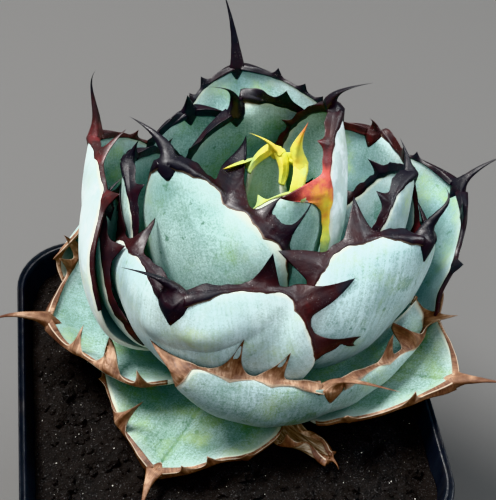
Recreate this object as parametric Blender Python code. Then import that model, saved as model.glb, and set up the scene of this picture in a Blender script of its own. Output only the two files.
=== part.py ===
"""Potted agave: a compact rosette of cupped blue leaves with horned margins, in a square nursery pot.

Made in metres, +Z up, with the origin at the centre of the pot's underside and the pot's sides along X and Y.
The sizes below are in millimetres, and MM turns them into metres where a mesh is made. Places on the plant
are (azimuth in degrees, radius, height), round the plant's own axis and up from the soil.
"""

import math

import bmesh
import bpy
import numpy as np
from mathutils import Vector
from mathutils.bvhtree import BVHTree

MM = 0.001
GAP = 0.3  # left between pieces that touch

# Pot: outer sizes of its tapered square wall, with round corners
POT_HEIGHT = 90.0
POT_TOP_SIDE = 98.4
POT_BASE_SIDE = 78.0
POT_TOP_CORNER = 14.2
POT_BASE_CORNER = 11.0
POT_WALL = 1.2
POT_FLOOR = 2.0
RIM_DEPTH = 9.0
RIM_STEP = 0.8
RIM_BEAD = 0.9
RIM_SET_IN = 0.3
RIM_GROOVE_IN = 0.9
RIM_INNER_BEAD = 0.5
CORNER_STEPS = 6
DRAIN_RADIUS = 4.0
DRAIN_OUT = 24.0
DRAIN_SIDES = 12

# Soil: its level at the plant, how far it dips towards the wall, and its lumps
SOIL_LEVEL = 84.0
SOIL_DIP = 2.0
SOIL_LUMP = 0.5
SOIL_RINGS = 12
SOIL_SIDE_STEPS = 4
SOIL_UNDER_LEAF = 0.5
SOIL_FEEL = 2.5

# Stem: a short cone in a plain hole in the soil, a little right of and behind the pot's centre
PLANT_X = 10.0
PLANT_Y = 16.0
STEM_DEPTH = 26.0
STEM_TOP = 20.0
STEM_LOW_RADIUS = 6.5
STEM_HIGH_RADIUS = 2.6
STEM_SIDES = 12
HOLE_RADIUS = 9.0

# Bud: the rolled leaves at the heart
BUD_FOOT = 20.4
BUD_LENGTH = 27.0
BUD_RADIUS = 3.4
BUD_SIDES = 8
BUD_RINGS = 9

# Rosette: each leaf presses on those inside it, outwards from a point at this height on the axis
HEART_HEIGHT = 40.0
PRESS_GAP = 1.0
PRESS_REACH = 200.0
PRESS_ACROSS = 25
PRESS_ALONG = 33
PRESS_SPREAD = 2
PRESS_SMOOTHING = 8

# Leaf: what all leaves share
ROOT_HALF_WIDTH = 3.6
TIP_HALF_WIDTH = 1.4
EDGE_THICKNESS = 1.0
MIDRIB_THICKNESS = 3.2
BLADE_END = 0.985  # the horn's spine takes the rest
ROW_CROWDING = 1.5  # rows stand closer towards the tip
ROOT_SEATED = 0.2  # the share of the length that moves when the root is seated on the stem
LINE_STATIONS = 41
CUP_STEPS = 8
FAN = 0.4
STEP = 0.004
HORN_WIDTH = 1.5
HORN_CLEAR = 0.5
HORN_LEAST = 0.6
HORN_TAPER = 4.0
HORN_LEAST_STEP = 0.5
TOOTH_SLOPE = 0.45
TOOTH_FOOT = 1.0
TOOTH_POINT = 1.6
TOOTH_STATIONS = (-1.0, -0.45, 0.0, 0.45, 1.0)
SPINE_SIDES = 6
SPINE_RINGS = (0.06, 0.2, 0.4, 0.62, 0.82)
SPINE_RADIUS = 1.9
SPINE_ROUND_FROM = 0.25  # the share of its length by which the spine is round
SETTLE_STEPS = 60
SETTLE_MOVE = 0.1
SETTLE_DRAW = 0.07
SPINE_DRAWS = 8

# Colours of the pieces, with their roughness
GLAUCOUS = ((0.30, 0.48, 0.42), 0.6)
DARK_HORN = ((0.035, 0.015, 0.02), 0.35)
DRY_HORN = ((0.38, 0.17, 0.08), 0.6)
YOUNG_HORN = ((0.75, 0.62, 0.12), 0.4)
BLACK_PLASTIC = ((0.012, 0.014, 0.018), 0.35)
PEAT = ((0.02, 0.016, 0.013), 0.95)
STEM_FLESH = ((0.45, 0.42, 0.28), 0.7)
DRY_LEAF = ((0.30, 0.19, 0.11), 0.8)
FINISH_NAMES = {
    GLAUCOUS: "glaucous_leaf",
    DARK_HORN: "dark_horn",
    DRY_HORN: "dry_horn",
    YOUNG_HORN: "young_horn",
    DRY_LEAF: "dry_leaf",
}


def unit(vectors):
    return vectors / np.linalg.norm(vectors, axis=-1, keepdims=True)


def place(azimuth, radius, height):
    angle = math.radians(azimuth)
    return np.array([radius * math.cos(angle), radius * math.sin(angle), height])


def stem_radius(height):
    share = np.clip(height / STEM_TOP, 0.0, 1.0)
    return STEM_LOW_RADIUS + (STEM_HIGH_RADIUS - STEM_LOW_RADIUS) * share


def material(name, colour, roughness):
    made = bpy.data.materials.get(name) or bpy.data.materials.new(name)
    made.use_nodes = True
    shader = made.node_tree.nodes["Principled BSDF"]
    shader.inputs["Base Color"].default_value = (*colour, 1.0)
    shader.inputs["Roughness"].default_value = roughness
    shader.inputs["Metallic"].default_value = 0.0
    return made


def solid(name, points, faces, finish, place_at=(0.0, 0.0, 0.0)):
    """One closed mesh object from points in millimetres, moved to place_at and with its faces pointing out."""
    mesh = bpy.data.meshes.new(name)
    moved = (np.asarray(points) + np.asarray(place_at)) * MM
    mesh.from_pydata([tuple(point) for point in moved], [], [tuple(face) for face in faces])
    work = bmesh.new()
    work.from_mesh(mesh)
    bmesh.ops.recalc_face_normals(work, faces=work.faces)
    if work.calc_volume(signed=True) < 0:
        bmesh.ops.reverse_faces(work, faces=work.faces)
    work.to_mesh(mesh)
    work.free()
    mesh.materials.append(finish)
    mesh.shade_smooth()
    made = bpy.data.objects.new(name, mesh)
    bpy.context.scene.collection.objects.link(made)
    return made


def rounded_square(side, corner, side_steps=1):
    """Points round a square with round corners, anticlockwise, each straight side in side_steps."""
    points = []
    reach = side / 2 - corner
    for quarter in range(4):
        middle = math.radians(45 + 90 * quarter)
        centre = np.array([math.copysign(reach, math.cos(middle)), math.copysign(reach, math.sin(middle))])
        for step in range(CORNER_STEPS + 1):
            angle = math.radians(90 * quarter + 90 * step / CORNER_STEPS)
            points.append(centre + corner * np.array([math.cos(angle), math.sin(angle)]))
        turn = math.radians(90 * (quarter + 1))
        along = 2 * reach * np.array([-math.sin(turn), math.cos(turn)])
        last = points[-1]
        for step in range(1, side_steps):
            points.append(last + along * step / side_steps)
    return np.array(points)


def wall_outline(height, out, side_steps=1):
    """The pot's tapered wall at a height, moved out by some millimetres."""
    share = height / POT_HEIGHT
    side = POT_BASE_SIDE + (POT_TOP_SIDE - POT_BASE_SIDE) * share
    corner = POT_BASE_CORNER + (POT_TOP_CORNER - POT_BASE_CORNER) * share
    flat = rounded_square(side + 2 * out, corner + out, side_steps)
    return np.column_stack([flat, np.full(len(flat), height)])


def lofted(rings):
    """Points and faces of a closed skin through rings of equal count, with both ends filled."""
    count = len(rings[0])
    faces = []
    for ring in range(len(rings) - 1):
        for step in range(count):
            a = ring * count + step
            b = ring * count + (step + 1) % count
            faces.append((a, b, b + count))
            faces.append((a, b + count, a + count))
    faces.append(tuple(range(count)))
    faces.append(tuple(range((len(rings) - 1) * count, len(rings) * count)))
    return np.vstack(rings), faces


def make_pot(finish):
    """Thin tapered wall, a stepped rim with two fine beads, and a floor with drain holes."""
    top = POT_HEIGHT
    under_rim = top - RIM_DEPTH
    inside = -POT_WALL
    profile = [
        (0.0, 0.0),
        (under_rim, 0.0),
        (under_rim + RIM_STEP, RIM_STEP),
        (top - RIM_BEAD, RIM_STEP),
        (top, RIM_STEP - RIM_SET_IN),
        (top - RIM_BEAD, RIM_STEP - RIM_GROOVE_IN),
        (top, inside + RIM_INNER_BEAD),
        (top - RIM_BEAD, inside),
        (POT_FLOOR, inside),
    ]
    points, faces = lofted([wall_outline(height, out) for height, out in profile])
    pot = solid("pot", points, faces, finish)
    make_drain_holes(pot)
    return pot


def make_drain_holes(pot):
    mesh = bpy.data.meshes.new("drain_cutter")
    work = bmesh.new()
    for across in (-DRAIN_OUT, 0.0, DRAIN_OUT):
        for deep in (-DRAIN_OUT, 0.0, DRAIN_OUT):
            if across == 0.0 and deep == 0.0:
                continue
            made = bmesh.ops.create_cone(
                work, cap_ends=True, segments=DRAIN_SIDES, depth=3 * POT_FLOOR * MM,
                radius1=DRAIN_RADIUS * MM, radius2=DRAIN_RADIUS * MM,
            )
            middle = Vector((across, deep, POT_FLOOR / 2)) * MM
            bmesh.ops.translate(work, verts=made["verts"], vec=middle)
    work.to_mesh(mesh)
    work.free()
    cutter = bpy.data.objects.new("drain_cutter", mesh)
    bpy.context.scene.collection.objects.link(cutter)
    cutter.hide_render = True
    cutter.display_type = "WIRE"
    cut = pot.modifiers.new("drain_holes", "BOOLEAN")
    cut.operation = "DIFFERENCE"
    cut.object = cutter


def make_stem(finish):
    heights = (-STEM_DEPTH, 0.0, STEM_TOP)
    rings = []
    for height in heights:
        turn = [360.0 * side / STEM_SIDES for side in range(STEM_SIDES)]
        rings.append(np.array([place(angle, stem_radius(height), height) for angle in turn]))
    points, faces = lofted(rings)
    return solid("stem", points, faces, finish, (PLANT_X, PLANT_Y, SOIL_LEVEL))


class Leaf:
    """One leaf. Its surface is read at u, -1 to 1 across (1 is left, looking out), and t, 0 at the root."""

    def __init__(self, name, tip, bend, root, width, cup, **more):
        self.name = name
        self.tip = tip
        self.bend = bend
        self.root = root
        self.width = width
        self.cup = cup
        self.cup_root = more.get("cup_root", 0.5 * cup)
        self.cup_tip = more.get("cup_tip", 0.8 * cup)
        self.widest = more.get("widest", 0.55)
        self.shoulder = more.get("shoulder", 2.6)
        self.roundness = more.get("roundness", 0.65)
        self.left = more.get("left", 1.0)
        self.right = more.get("right", 1.0)
        self.roll = more.get("roll", 0.0)
        self.thick = more.get("thick", MIDRIB_THICKNESS)
        self.wave = more.get("wave", 0.8)
        self.flesh = more.get("flesh", GLAUCOUS)
        self.horn = more.get("horn", DARK_HORN)
        self.horn_from = more.get("horn_from", 0.45)
        self.horn_from_right = more.get("horn_from_right", self.horn_from)
        self.horn_width = more.get("horn_width", HORN_WIDTH)
        self.spine = more.get("spine", (14.0, 0.2, 0.0))
        self.teeth = more.get("teeth", (4, 7.0))
        self.cells = more.get("cells", (6, 9))
        self.press = np.zeros((PRESS_ALONG, PRESS_ACROSS))
        self.seat = np.zeros(3)
        self.set_line()

    def set_line(self):
        """The midrib: a curve through root, bend and tip, with the blade's cross and up directions on it."""
        root_azimuth, root_height = self.root
        start = place(root_azimuth, stem_radius(root_height) + GAP, root_height)
        middle = place(*self.bend)
        end = place(*self.tip)
        t = np.linspace(0.0, 1.0, LINE_STATIONS)[:, None]
        points = (1 - t) ** 2 * start + 2 * t * (1 - t) * middle + t**2 * end
        along = unit(2 * (1 - t) * (middle - start) + 2 * t * (end - middle))
        side = place(self.bend[0] + 90.0, 1.0, 0.0)
        across = unit(side - (along @ side)[:, None] * along)
        up = np.cross(along, across)
        turn = math.radians(self.roll)
        mean_up = unit(up[LINE_STATIONS // 4 : -LINE_STATIONS // 4].mean(axis=0))
        up = unit(FAN * up + (1 - FAN) * mean_up)
        up = unit(up - (up * across).sum(axis=1)[:, None] * across)
        tilted = across * math.cos(turn) + up * math.sin(turn)
        self.line = t[:, 0], points, tilted, up * math.cos(turn) - across * math.sin(turn)

    def on_line(self, t):
        stations, *arrays = self.line
        read = []
        for array in arrays:
            read.append(np.stack([np.interp(t, stations, array[:, axis]) for axis in range(3)], axis=-1))
        point, across, up = read
        return point, unit(across), unit(up)

    def half_width(self, t):
        rise = np.sin(0.5 * math.pi * np.clip(t / self.widest, 0, 1)) ** 1.3
        growing = ROOT_HALF_WIDTH + (self.width / 2 - ROOT_HALF_WIDTH) * rise
        shrink = np.clip((t - self.widest) / (1 - self.widest), 0, 1)
        closing = self.width / 2 * (1 - shrink**self.shoulder) ** self.roundness
        return np.maximum(np.where(t < self.widest, growing, closing), TIP_HALF_WIDTH)

    def cup_angle(self, t):
        """How far the blade has turned up at its edge, in radians, read from root, middle and tip."""
        middle = 2 * self.cup - 0.5 * (self.cup_root + self.cup_tip)
        angle = (1 - t) ** 2 * self.cup_root + 2 * t * (1 - t) * middle + t**2 * self.cup_tip
        return np.radians(angle)

    def thickness(self, u, t):
        return EDGE_THICKNESS + (self.thick - EDGE_THICKNESS) * (1 - u**2) * (1 - 0.6 * t)

    def shape(self, u, t):
        """The inner face at (u, t): rows across the midrib, bent up round it, rippled, pressed and seated."""
        u, t = np.broadcast_arrays(np.asarray(u, float), np.asarray(t, float))
        point, across, up = self.on_line(t)
        reach = self.half_width(t) * np.where(u > 0, self.left, self.right)
        angle = self.cup_angle(t)
        share = (np.arange(CUP_STEPS) + 0.5) / CUP_STEPS
        bends = angle[..., None] * u[..., None] * share
        out = np.cos(bends).mean(-1) * u * reach
        rise = np.sin(bends).mean(-1) * u * reach
        fade = np.clip(3 * (t - 0.3), 0, 1) * np.clip(6 * (1 - t), 0, 1)
        ripple = self.wave * np.sin(2 * math.pi * 2.6 * t + np.sign(u) + 0.1 * self.width) * np.abs(u) ** 3 * fade
        end = angle * u
        normal = np.cos(end)[..., None] * up - np.sin(end)[..., None] * across
        point = point + out[..., None] * across + rise[..., None] * up + ripple[..., None] * normal
        return self.pressed(point, u, t)

    def surface(self, u, t, depth=0.0):
        """Point some depth below the inner face at (u, t), the face's normal, and the way out across its edge."""
        u, t = np.broadcast_arrays(np.asarray(u, float), np.asarray(t, float))
        inside = np.clip(u, STEP - 1, 1 - STEP)
        middle = np.clip(t, STEP, 1 - STEP)
        along = self.shape(u, middle + STEP) - self.shape(u, middle - STEP)
        across = self.shape(inside + STEP, t) - self.shape(inside - STEP, t)
        normal = unit(np.cross(along, across))
        out = unit(np.cross(normal, along)) * np.where(u >= 0, 1.0, -1.0)[..., None]
        return self.shape(u, t) - normal * np.asarray(depth)[..., None], normal, out

    def pressed(self, point, u, t):
        """The point after the leaf has been pushed out by those inside it, and its root seated on the stem."""
        row = np.clip(t, 0, 1) * (PRESS_ALONG - 1)
        column = (np.clip(u, -1, 1) + 1) / 2 * (PRESS_ACROSS - 1)
        low_row = np.minimum(row.astype(int), PRESS_ALONG - 2)
        low_column = np.minimum(column.astype(int), PRESS_ACROSS - 2)
        f = row - low_row
        g = column - low_column
        push = (
            self.press[low_row, low_column] * (1 - f) * (1 - g)
            + self.press[low_row + 1, low_column] * f * (1 - g)
            + self.press[low_row, low_column + 1] * (1 - f) * g
            + self.press[low_row + 1, low_column + 1] * f * g
        )
        heart = np.array([0.0, 0.0, HEART_HEIGHT])
        fade = np.clip(1 - t / ROOT_SEATED, 0, 1) ** 2
        return point + unit(point - heart) * push[..., None] + self.seat * fade[..., None]

    def press_on(self, inner):
        """Pushes the blade out until it clears the leaves inside it, and seats its root against the stem."""
        rows = np.linspace(0, 1, PRESS_ALONG)
        columns = np.linspace(-1, 1, PRESS_ACROSS)
        u, t = np.meshgrid(columns, rows)
        faces = [self.surface(u, t)[0], self.surface(u, t, self.thickness(u, t))[0]]
        need = np.zeros_like(u)
        for index in np.ndindex(need.shape):
            need[index] = max(shortfall(face[index], inner, PRESS_GAP) for face in faces)
        self.press = smooth_above(need)
        height = self.shape(0.0, 0.0)[2]
        wide = max(stem_radius(height), stem_radius(height - self.thick))
        now = self.shape(0.0, 0.0)
        radius = math.hypot(now[0], now[1])
        self.seat = np.array([now[0], now[1], 0.0]) * ((wide + GAP + 0.1) / radius - 1)

    def blade(self):
        """The blade's points, faces, and its two edge rows as (t, inner edge, outer edge) for each side."""
        across, along = self.cells
        rows = BLADE_END * (1 - (1 - np.linspace(0, 1, along + 1)) ** ROW_CROWDING)
        columns = np.linspace(-1, 1, across + 1)
        u, t = np.meshgrid(columns, rows)
        top = self.surface(u, t)[0]
        bottom = self.surface(u, t, self.thickness(u, t))[0]
        wide = across + 1
        half = wide * (along + 1)
        faces = []
        for row in range(along):
            for column in range(across):
                a = row * wide + column
                b, c, d = a + 1, a + wide + 1, a + wide
                faces += [(a, b, c), (a, c, d)]
                faces += [(a + half, c + half, b + half), (a + half, d + half, c + half)]
        rim = [(column, column + 1) for column in range(across)]
        rim += [(row * wide + across, (row + 1) * wide + across) for row in range(along)]
        rim += [(along * wide + column + 1, along * wide + column) for column in range(across)]
        rim += [((row + 1) * wide, row * wide) for row in range(along)]
        for a, b in rim:
            faces += [(a, a + half, b), (b, a + half, b + half)]
        edges = {1: (rows, top[:, -1], bottom[:, -1]), -1: (rows, top[:, 0], bottom[:, 0])}
        return np.vstack([top.reshape(-1, 3), bottom.reshape(-1, 3)]), faces, edges


def shortfall(point, tree, gap):
    """How far the point must move out from the heart to stand clear of the tree by gap."""
    if tree is None:
        return 0.0
    heart = np.array([0.0, 0.0, HEART_HEIGHT])
    away = point - heart
    distance = np.linalg.norm(away)
    direction = Vector(away / distance)
    hit = tree.ray_cast(Vector(heart) + direction * PRESS_REACH, -direction, PRESS_REACH)
    if hit[0] is None:
        return 0.0
    return max(0.0, (PRESS_REACH - hit[3]) + gap - distance)


def around(field):
    """The field with its four neighbours on each side, as five arrays of one shape."""
    wide = np.pad(field, 1, mode="edge")
    return field, wide[:-2, 1:-1], wide[2:, 1:-1], wide[1:-1, :-2], wide[1:-1, 2:]


def smooth_above(need):
    """A smooth field that is nowhere under need, nor under what is needed a few samples away."""
    floor = need
    for _ in range(PRESS_SPREAD):
        floor = np.max(around(floor), axis=0)
    field = floor
    for _ in range(PRESS_SMOOTHING):
        field = np.maximum(np.mean(around(field), axis=0), floor)
    return field


def tree_of(skins):
    """One search tree over several skins of points and triangles."""
    points = []
    faces = []
    for skin_points, skin_faces in skins:
        faces += [tuple(len(points) + corner for corner in face) for face in skin_faces]
        points += [tuple(point) for point in skin_points]
    return BVHTree.FromPolygons(points, faces) if faces else None


def tooth_list(leaf, side, length):
    """Teeth on one edge as (distance from the tip, height, lean, curl), listed or by chance."""
    listed = leaf.teeth
    if isinstance(listed, dict):
        return listed[side]
    count, tall = listed
    chance = np.random.default_rng(int(10 * leaf.tip[0]) + 7 * int(leaf.width) + side)
    teeth = []
    for index in range(count):
        back = length * (0.12 + 0.7 * (index + 0.5 + chance.uniform(-0.2, 0.2)) / count)
        height = tall * chance.uniform(0.6, 1.1)
        teeth.append((back, height, chance.uniform(-0.3, 0.3), chance.uniform(0.0, 0.3)))
    return teeth


def horn_side(leaf, side, edge, inner, outer):
    """Stations of the horn on one edge up to the tip: upper, outer and lower points, and least outer ones."""
    rows, upper, lower = edge
    length = np.concatenate([[0], np.cumsum(np.linalg.norm(np.diff(upper, axis=0), axis=1))])
    begins = leaf.horn_from if side > 0 else leaf.horn_from_right
    first = float(np.interp(begins, rows, length))
    teeth = tooth_list(leaf, side, length[-1] - first)
    wanted = [first]
    wanted += [float(step) for row, step in zip(rows, length) if row > begins + 0.02]
    marks = []
    for back, tall, lean, curl in teeth:
        middle = length[-1] - back
        half = TOOTH_FOOT + TOOTH_SLOPE * tall
        marks.append((middle, half, tall, lean, curl))
        wanted += [middle + half * share for share in TOOTH_STATIONS]
    stations = []
    for step in sorted(wanted):
        crowded = stations and step - stations[-1] < HORN_LEAST_STEP
        if wanted[0] <= step <= length[-1] and not crowded:
            stations.append(step)
    stations = np.array(stations)
    t = np.interp(stations, length, rows)
    top = np.stack([np.interp(stations, length, upper[:, axis]) for axis in range(3)], axis=-1)
    low = np.stack([np.interp(stations, length, lower[:, axis]) for axis in range(3)], axis=-1)
    _, normal, cross = leaf.surface(np.full(len(t), float(side)), t)
    along = unit(np.gradient(top, axis=0))
    start = np.clip((stations - stations[0]) / HORN_TAPER, 0.25, 1.0)
    height = leaf.horn_width * start
    shift = np.zeros(len(t))
    turn = np.zeros(len(t))
    for middle, half, tall, lean, curl in marks:
        swell = np.clip(1 - np.abs(stations - middle) / half, 0, 1) ** TOOTH_POINT
        height = height + tall * swell
        shift = shift + lean * tall * swell
        turn = turn + curl * tall * swell**1.5
    top = top + cross * GAP
    low = low + cross * GAP
    point = 0.5 * (top + low) + cross * height[:, None] + along * shift[:, None] + normal * turn[:, None]
    point = kept_between(point, inner, outer)
    least = 0.5 * (top + low) + cross * HORN_LEAST
    short = np.clip(-((point - least) * cross).sum(axis=1), 0.0, None)
    point = point + cross * short[:, None]
    point[-1] = least[-1]
    return top, point, low, least


def kept_between(points, inner, outer):
    """A horn's row of points, moved evenly out of the leaves inside it and then back from those outside it."""
    heart = np.array([0.0, 0.0, HEART_HEIGHT])
    directions = unit(points - heart)
    push = spread([shortfall(point, inner, HORN_CLEAR) for point in points])
    points = points + directions * push[:, None]
    back = []
    for point, direction in zip(points, directions):
        hit = outer.ray_cast(Vector(heart), Vector(direction), PRESS_REACH) if outer else (None,)
        beyond = np.linalg.norm(point - heart) - hit[3] + HORN_CLEAR if hit[0] is not None else 0.0
        back.append(max(0.0, beyond))
    return points - directions * spread(back)[:, None]


def spread(amounts):
    """Amounts along an edge, each raised to what its neighbours need, and then evened out."""
    highest = np.max([amounts, amounts[1:] + amounts[-1:], amounts[:1] + amounts[:-1]], axis=0)
    wide = np.pad(highest, 1, mode="edge")
    return np.maximum((wide[:-2] + 2 * highest + wide[2:]) / 4, amounts)


def horn(leaf, edges, inner, outer, others):
    """The horn in one body: a toothed strip up each edge, and the spine that both run into at the tip.

    inner and outer hold the blades on its two sides, others the leaf's own blade and the horns made so far.
    """
    sides = [horn_side(leaf, side, edges[side], inner, outer) for side in (1, -1)]
    along = unit(leaf.shape(0.0, BLADE_END) - leaf.shape(0.0, BLADE_END - 0.05))
    across = leaf.on_line(1.0)[1]
    across = unit(across - along * (across @ along))
    up = np.cross(along, across)
    points = []
    faces = []
    ends = []
    anchors = {}
    for top, out, low, least in sides:
        base = len(points)
        last = len(top) - 1
        for index in range(len(top)):
            ahead = along * GAP if index == last else 0.0
            anchors[len(points) + 1] = least[index] + ahead
            points += [top[index] + ahead, out[index] + ahead, low[index] + ahead]
        for index in range(last):
            for corner in range(3):
                a = base + 3 * index + corner
                b = base + 3 * index + (corner + 1) % 3
                faces += [(a, a + 3, b), (b, a + 3, b + 3)]
        faces.append((base, base + 1, base + 2))
        ends.append((base + 3 * last, base + 3 * last + 1, base + 3 * last + 2))
    (left_top, left_out, left_low), (right_top, right_out, right_low) = ends
    ring = [left_out, left_top, right_top, right_out, right_low, left_low]
    faces += [(left_top, left_low, right_low), (left_top, right_low, right_top)]
    length, lift, aside = leaf.spine
    start = np.mean([points[corner] for corner in ring], axis=0)
    foot = [points[corner] - start for corner in ring]
    spine = range(len(points), len(points) + SPINE_SIDES * len(SPINE_RINGS) + 1)
    for share in SPINE_RINGS:
        middle = start + (along * share + (up * lift + across * aside) * share**2) * length
        radius = SPINE_RADIUS * (1 - share) ** 0.85
        flat = max(0.0, 1 - share / SPINE_ROUND_FROM)
        following = []
        for corner in range(SPINE_SIDES):
            angle = math.radians(360 / SPINE_SIDES * corner)
            anchors[len(points)] = start
            around_it = radius * (across * math.cos(angle) + 0.85 * up * math.sin(angle))
            points.append(middle + (1 - flat) * around_it + flat * (1 - share) * foot[corner])
            following.append(len(points) - 1)
        for corner in range(SPINE_SIDES):
            after = (corner + 1) % SPINE_SIDES
            faces.append((ring[corner], following[corner], ring[after]))
            faces.append((ring[after], following[corner], following[after]))
        ring = following
    anchors[len(points)] = start
    points.append(start + (along + up * lift + across * aside) * length)
    faces += [(ring[corner], len(points) - 1, ring[(corner + 1) % SPINE_SIDES]) for corner in range(SPINE_SIDES)]
    walls = [(inner, SETTLE_MOVE), (outer, 0.0), (others, 0.0)]
    return settled(points, faces, anchors, spine, walls), faces


def settled(points, faces, anchors, spine, walls):
    """The horn's points, drawn in to its edge, and out from the heart, where they meet a wall or the horn itself."""
    points = np.array(points)
    heart = np.array([0.0, 0.0, HEART_HEIGHT])
    for step in range(SETTLE_STEPS):
        tree = BVHTree.FromPolygons([tuple(point) for point in points], faces)
        met = [(own, 0.0) for own, other in tree.overlap(tree) if crossing(faces[own], faces[other], spine)]
        for wall, move in walls:
            met += [(own, move) for own, _ in tree.overlap(wall)] if wall else []
        if not met:
            break
        moves = {}
        for own, move in met:
            for other, share in moving_with(faces[own], anchors, spine, step).items():
                moves[other] = max(moves.get(other, (0.0, 0.0)), (share, share * move))
        for corner, (share, move) in sorted(moves.items()):
            drawn = anchors[corner] + (1 - share * SETTLE_DRAW) * (points[corner] - anchors[corner])
            points[corner] = drawn + move * unit(drawn - heart)
    return points


def crossing(face, other, spine):
    """Whether two faces of one horn that meet are a fold, and not neighbours or a part of the spine."""
    return not set(face) & set(other) and not all(corner in spine for corner in face)


def moving_with(face, anchors, spine, step):
    """The points that move when this face meets something, each with its share."""
    if all(corner in spine for corner in face):
        return {other: 1.0 for other in spine if step < SPINE_DRAWS}
    shares = {}
    for corner in face:
        if corner in anchors and corner not in spine:
            for other in (corner - 3, corner + 3):
                if other in anchors and other not in spine:
                    shares.setdefault(other, 0.5)
            shares[corner] = 1.0
    return shares


def bud_skin():
    """The closed spindle of unopened leaves at the heart."""
    rings = []
    for step in range(BUD_RINGS):
        share = step / (BUD_RINGS - 1)
        swell = math.sin(math.pi * (0.18 + 0.8 * share)) ** 0.9
        turn = [360.0 * side / BUD_SIDES + 40.0 * share for side in range(BUD_SIDES)]
        height = BUD_FOOT + BUD_LENGTH * share
        rings.append(np.array([place(angle, BUD_RADIUS * swell, height) for angle in turn]))
    points, faces = lofted(rings)
    split = []
    for face in faces:
        split += [(face[0], face[step], face[step + 1]) for step in range(1, len(face) - 1)]
    return points, split


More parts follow.
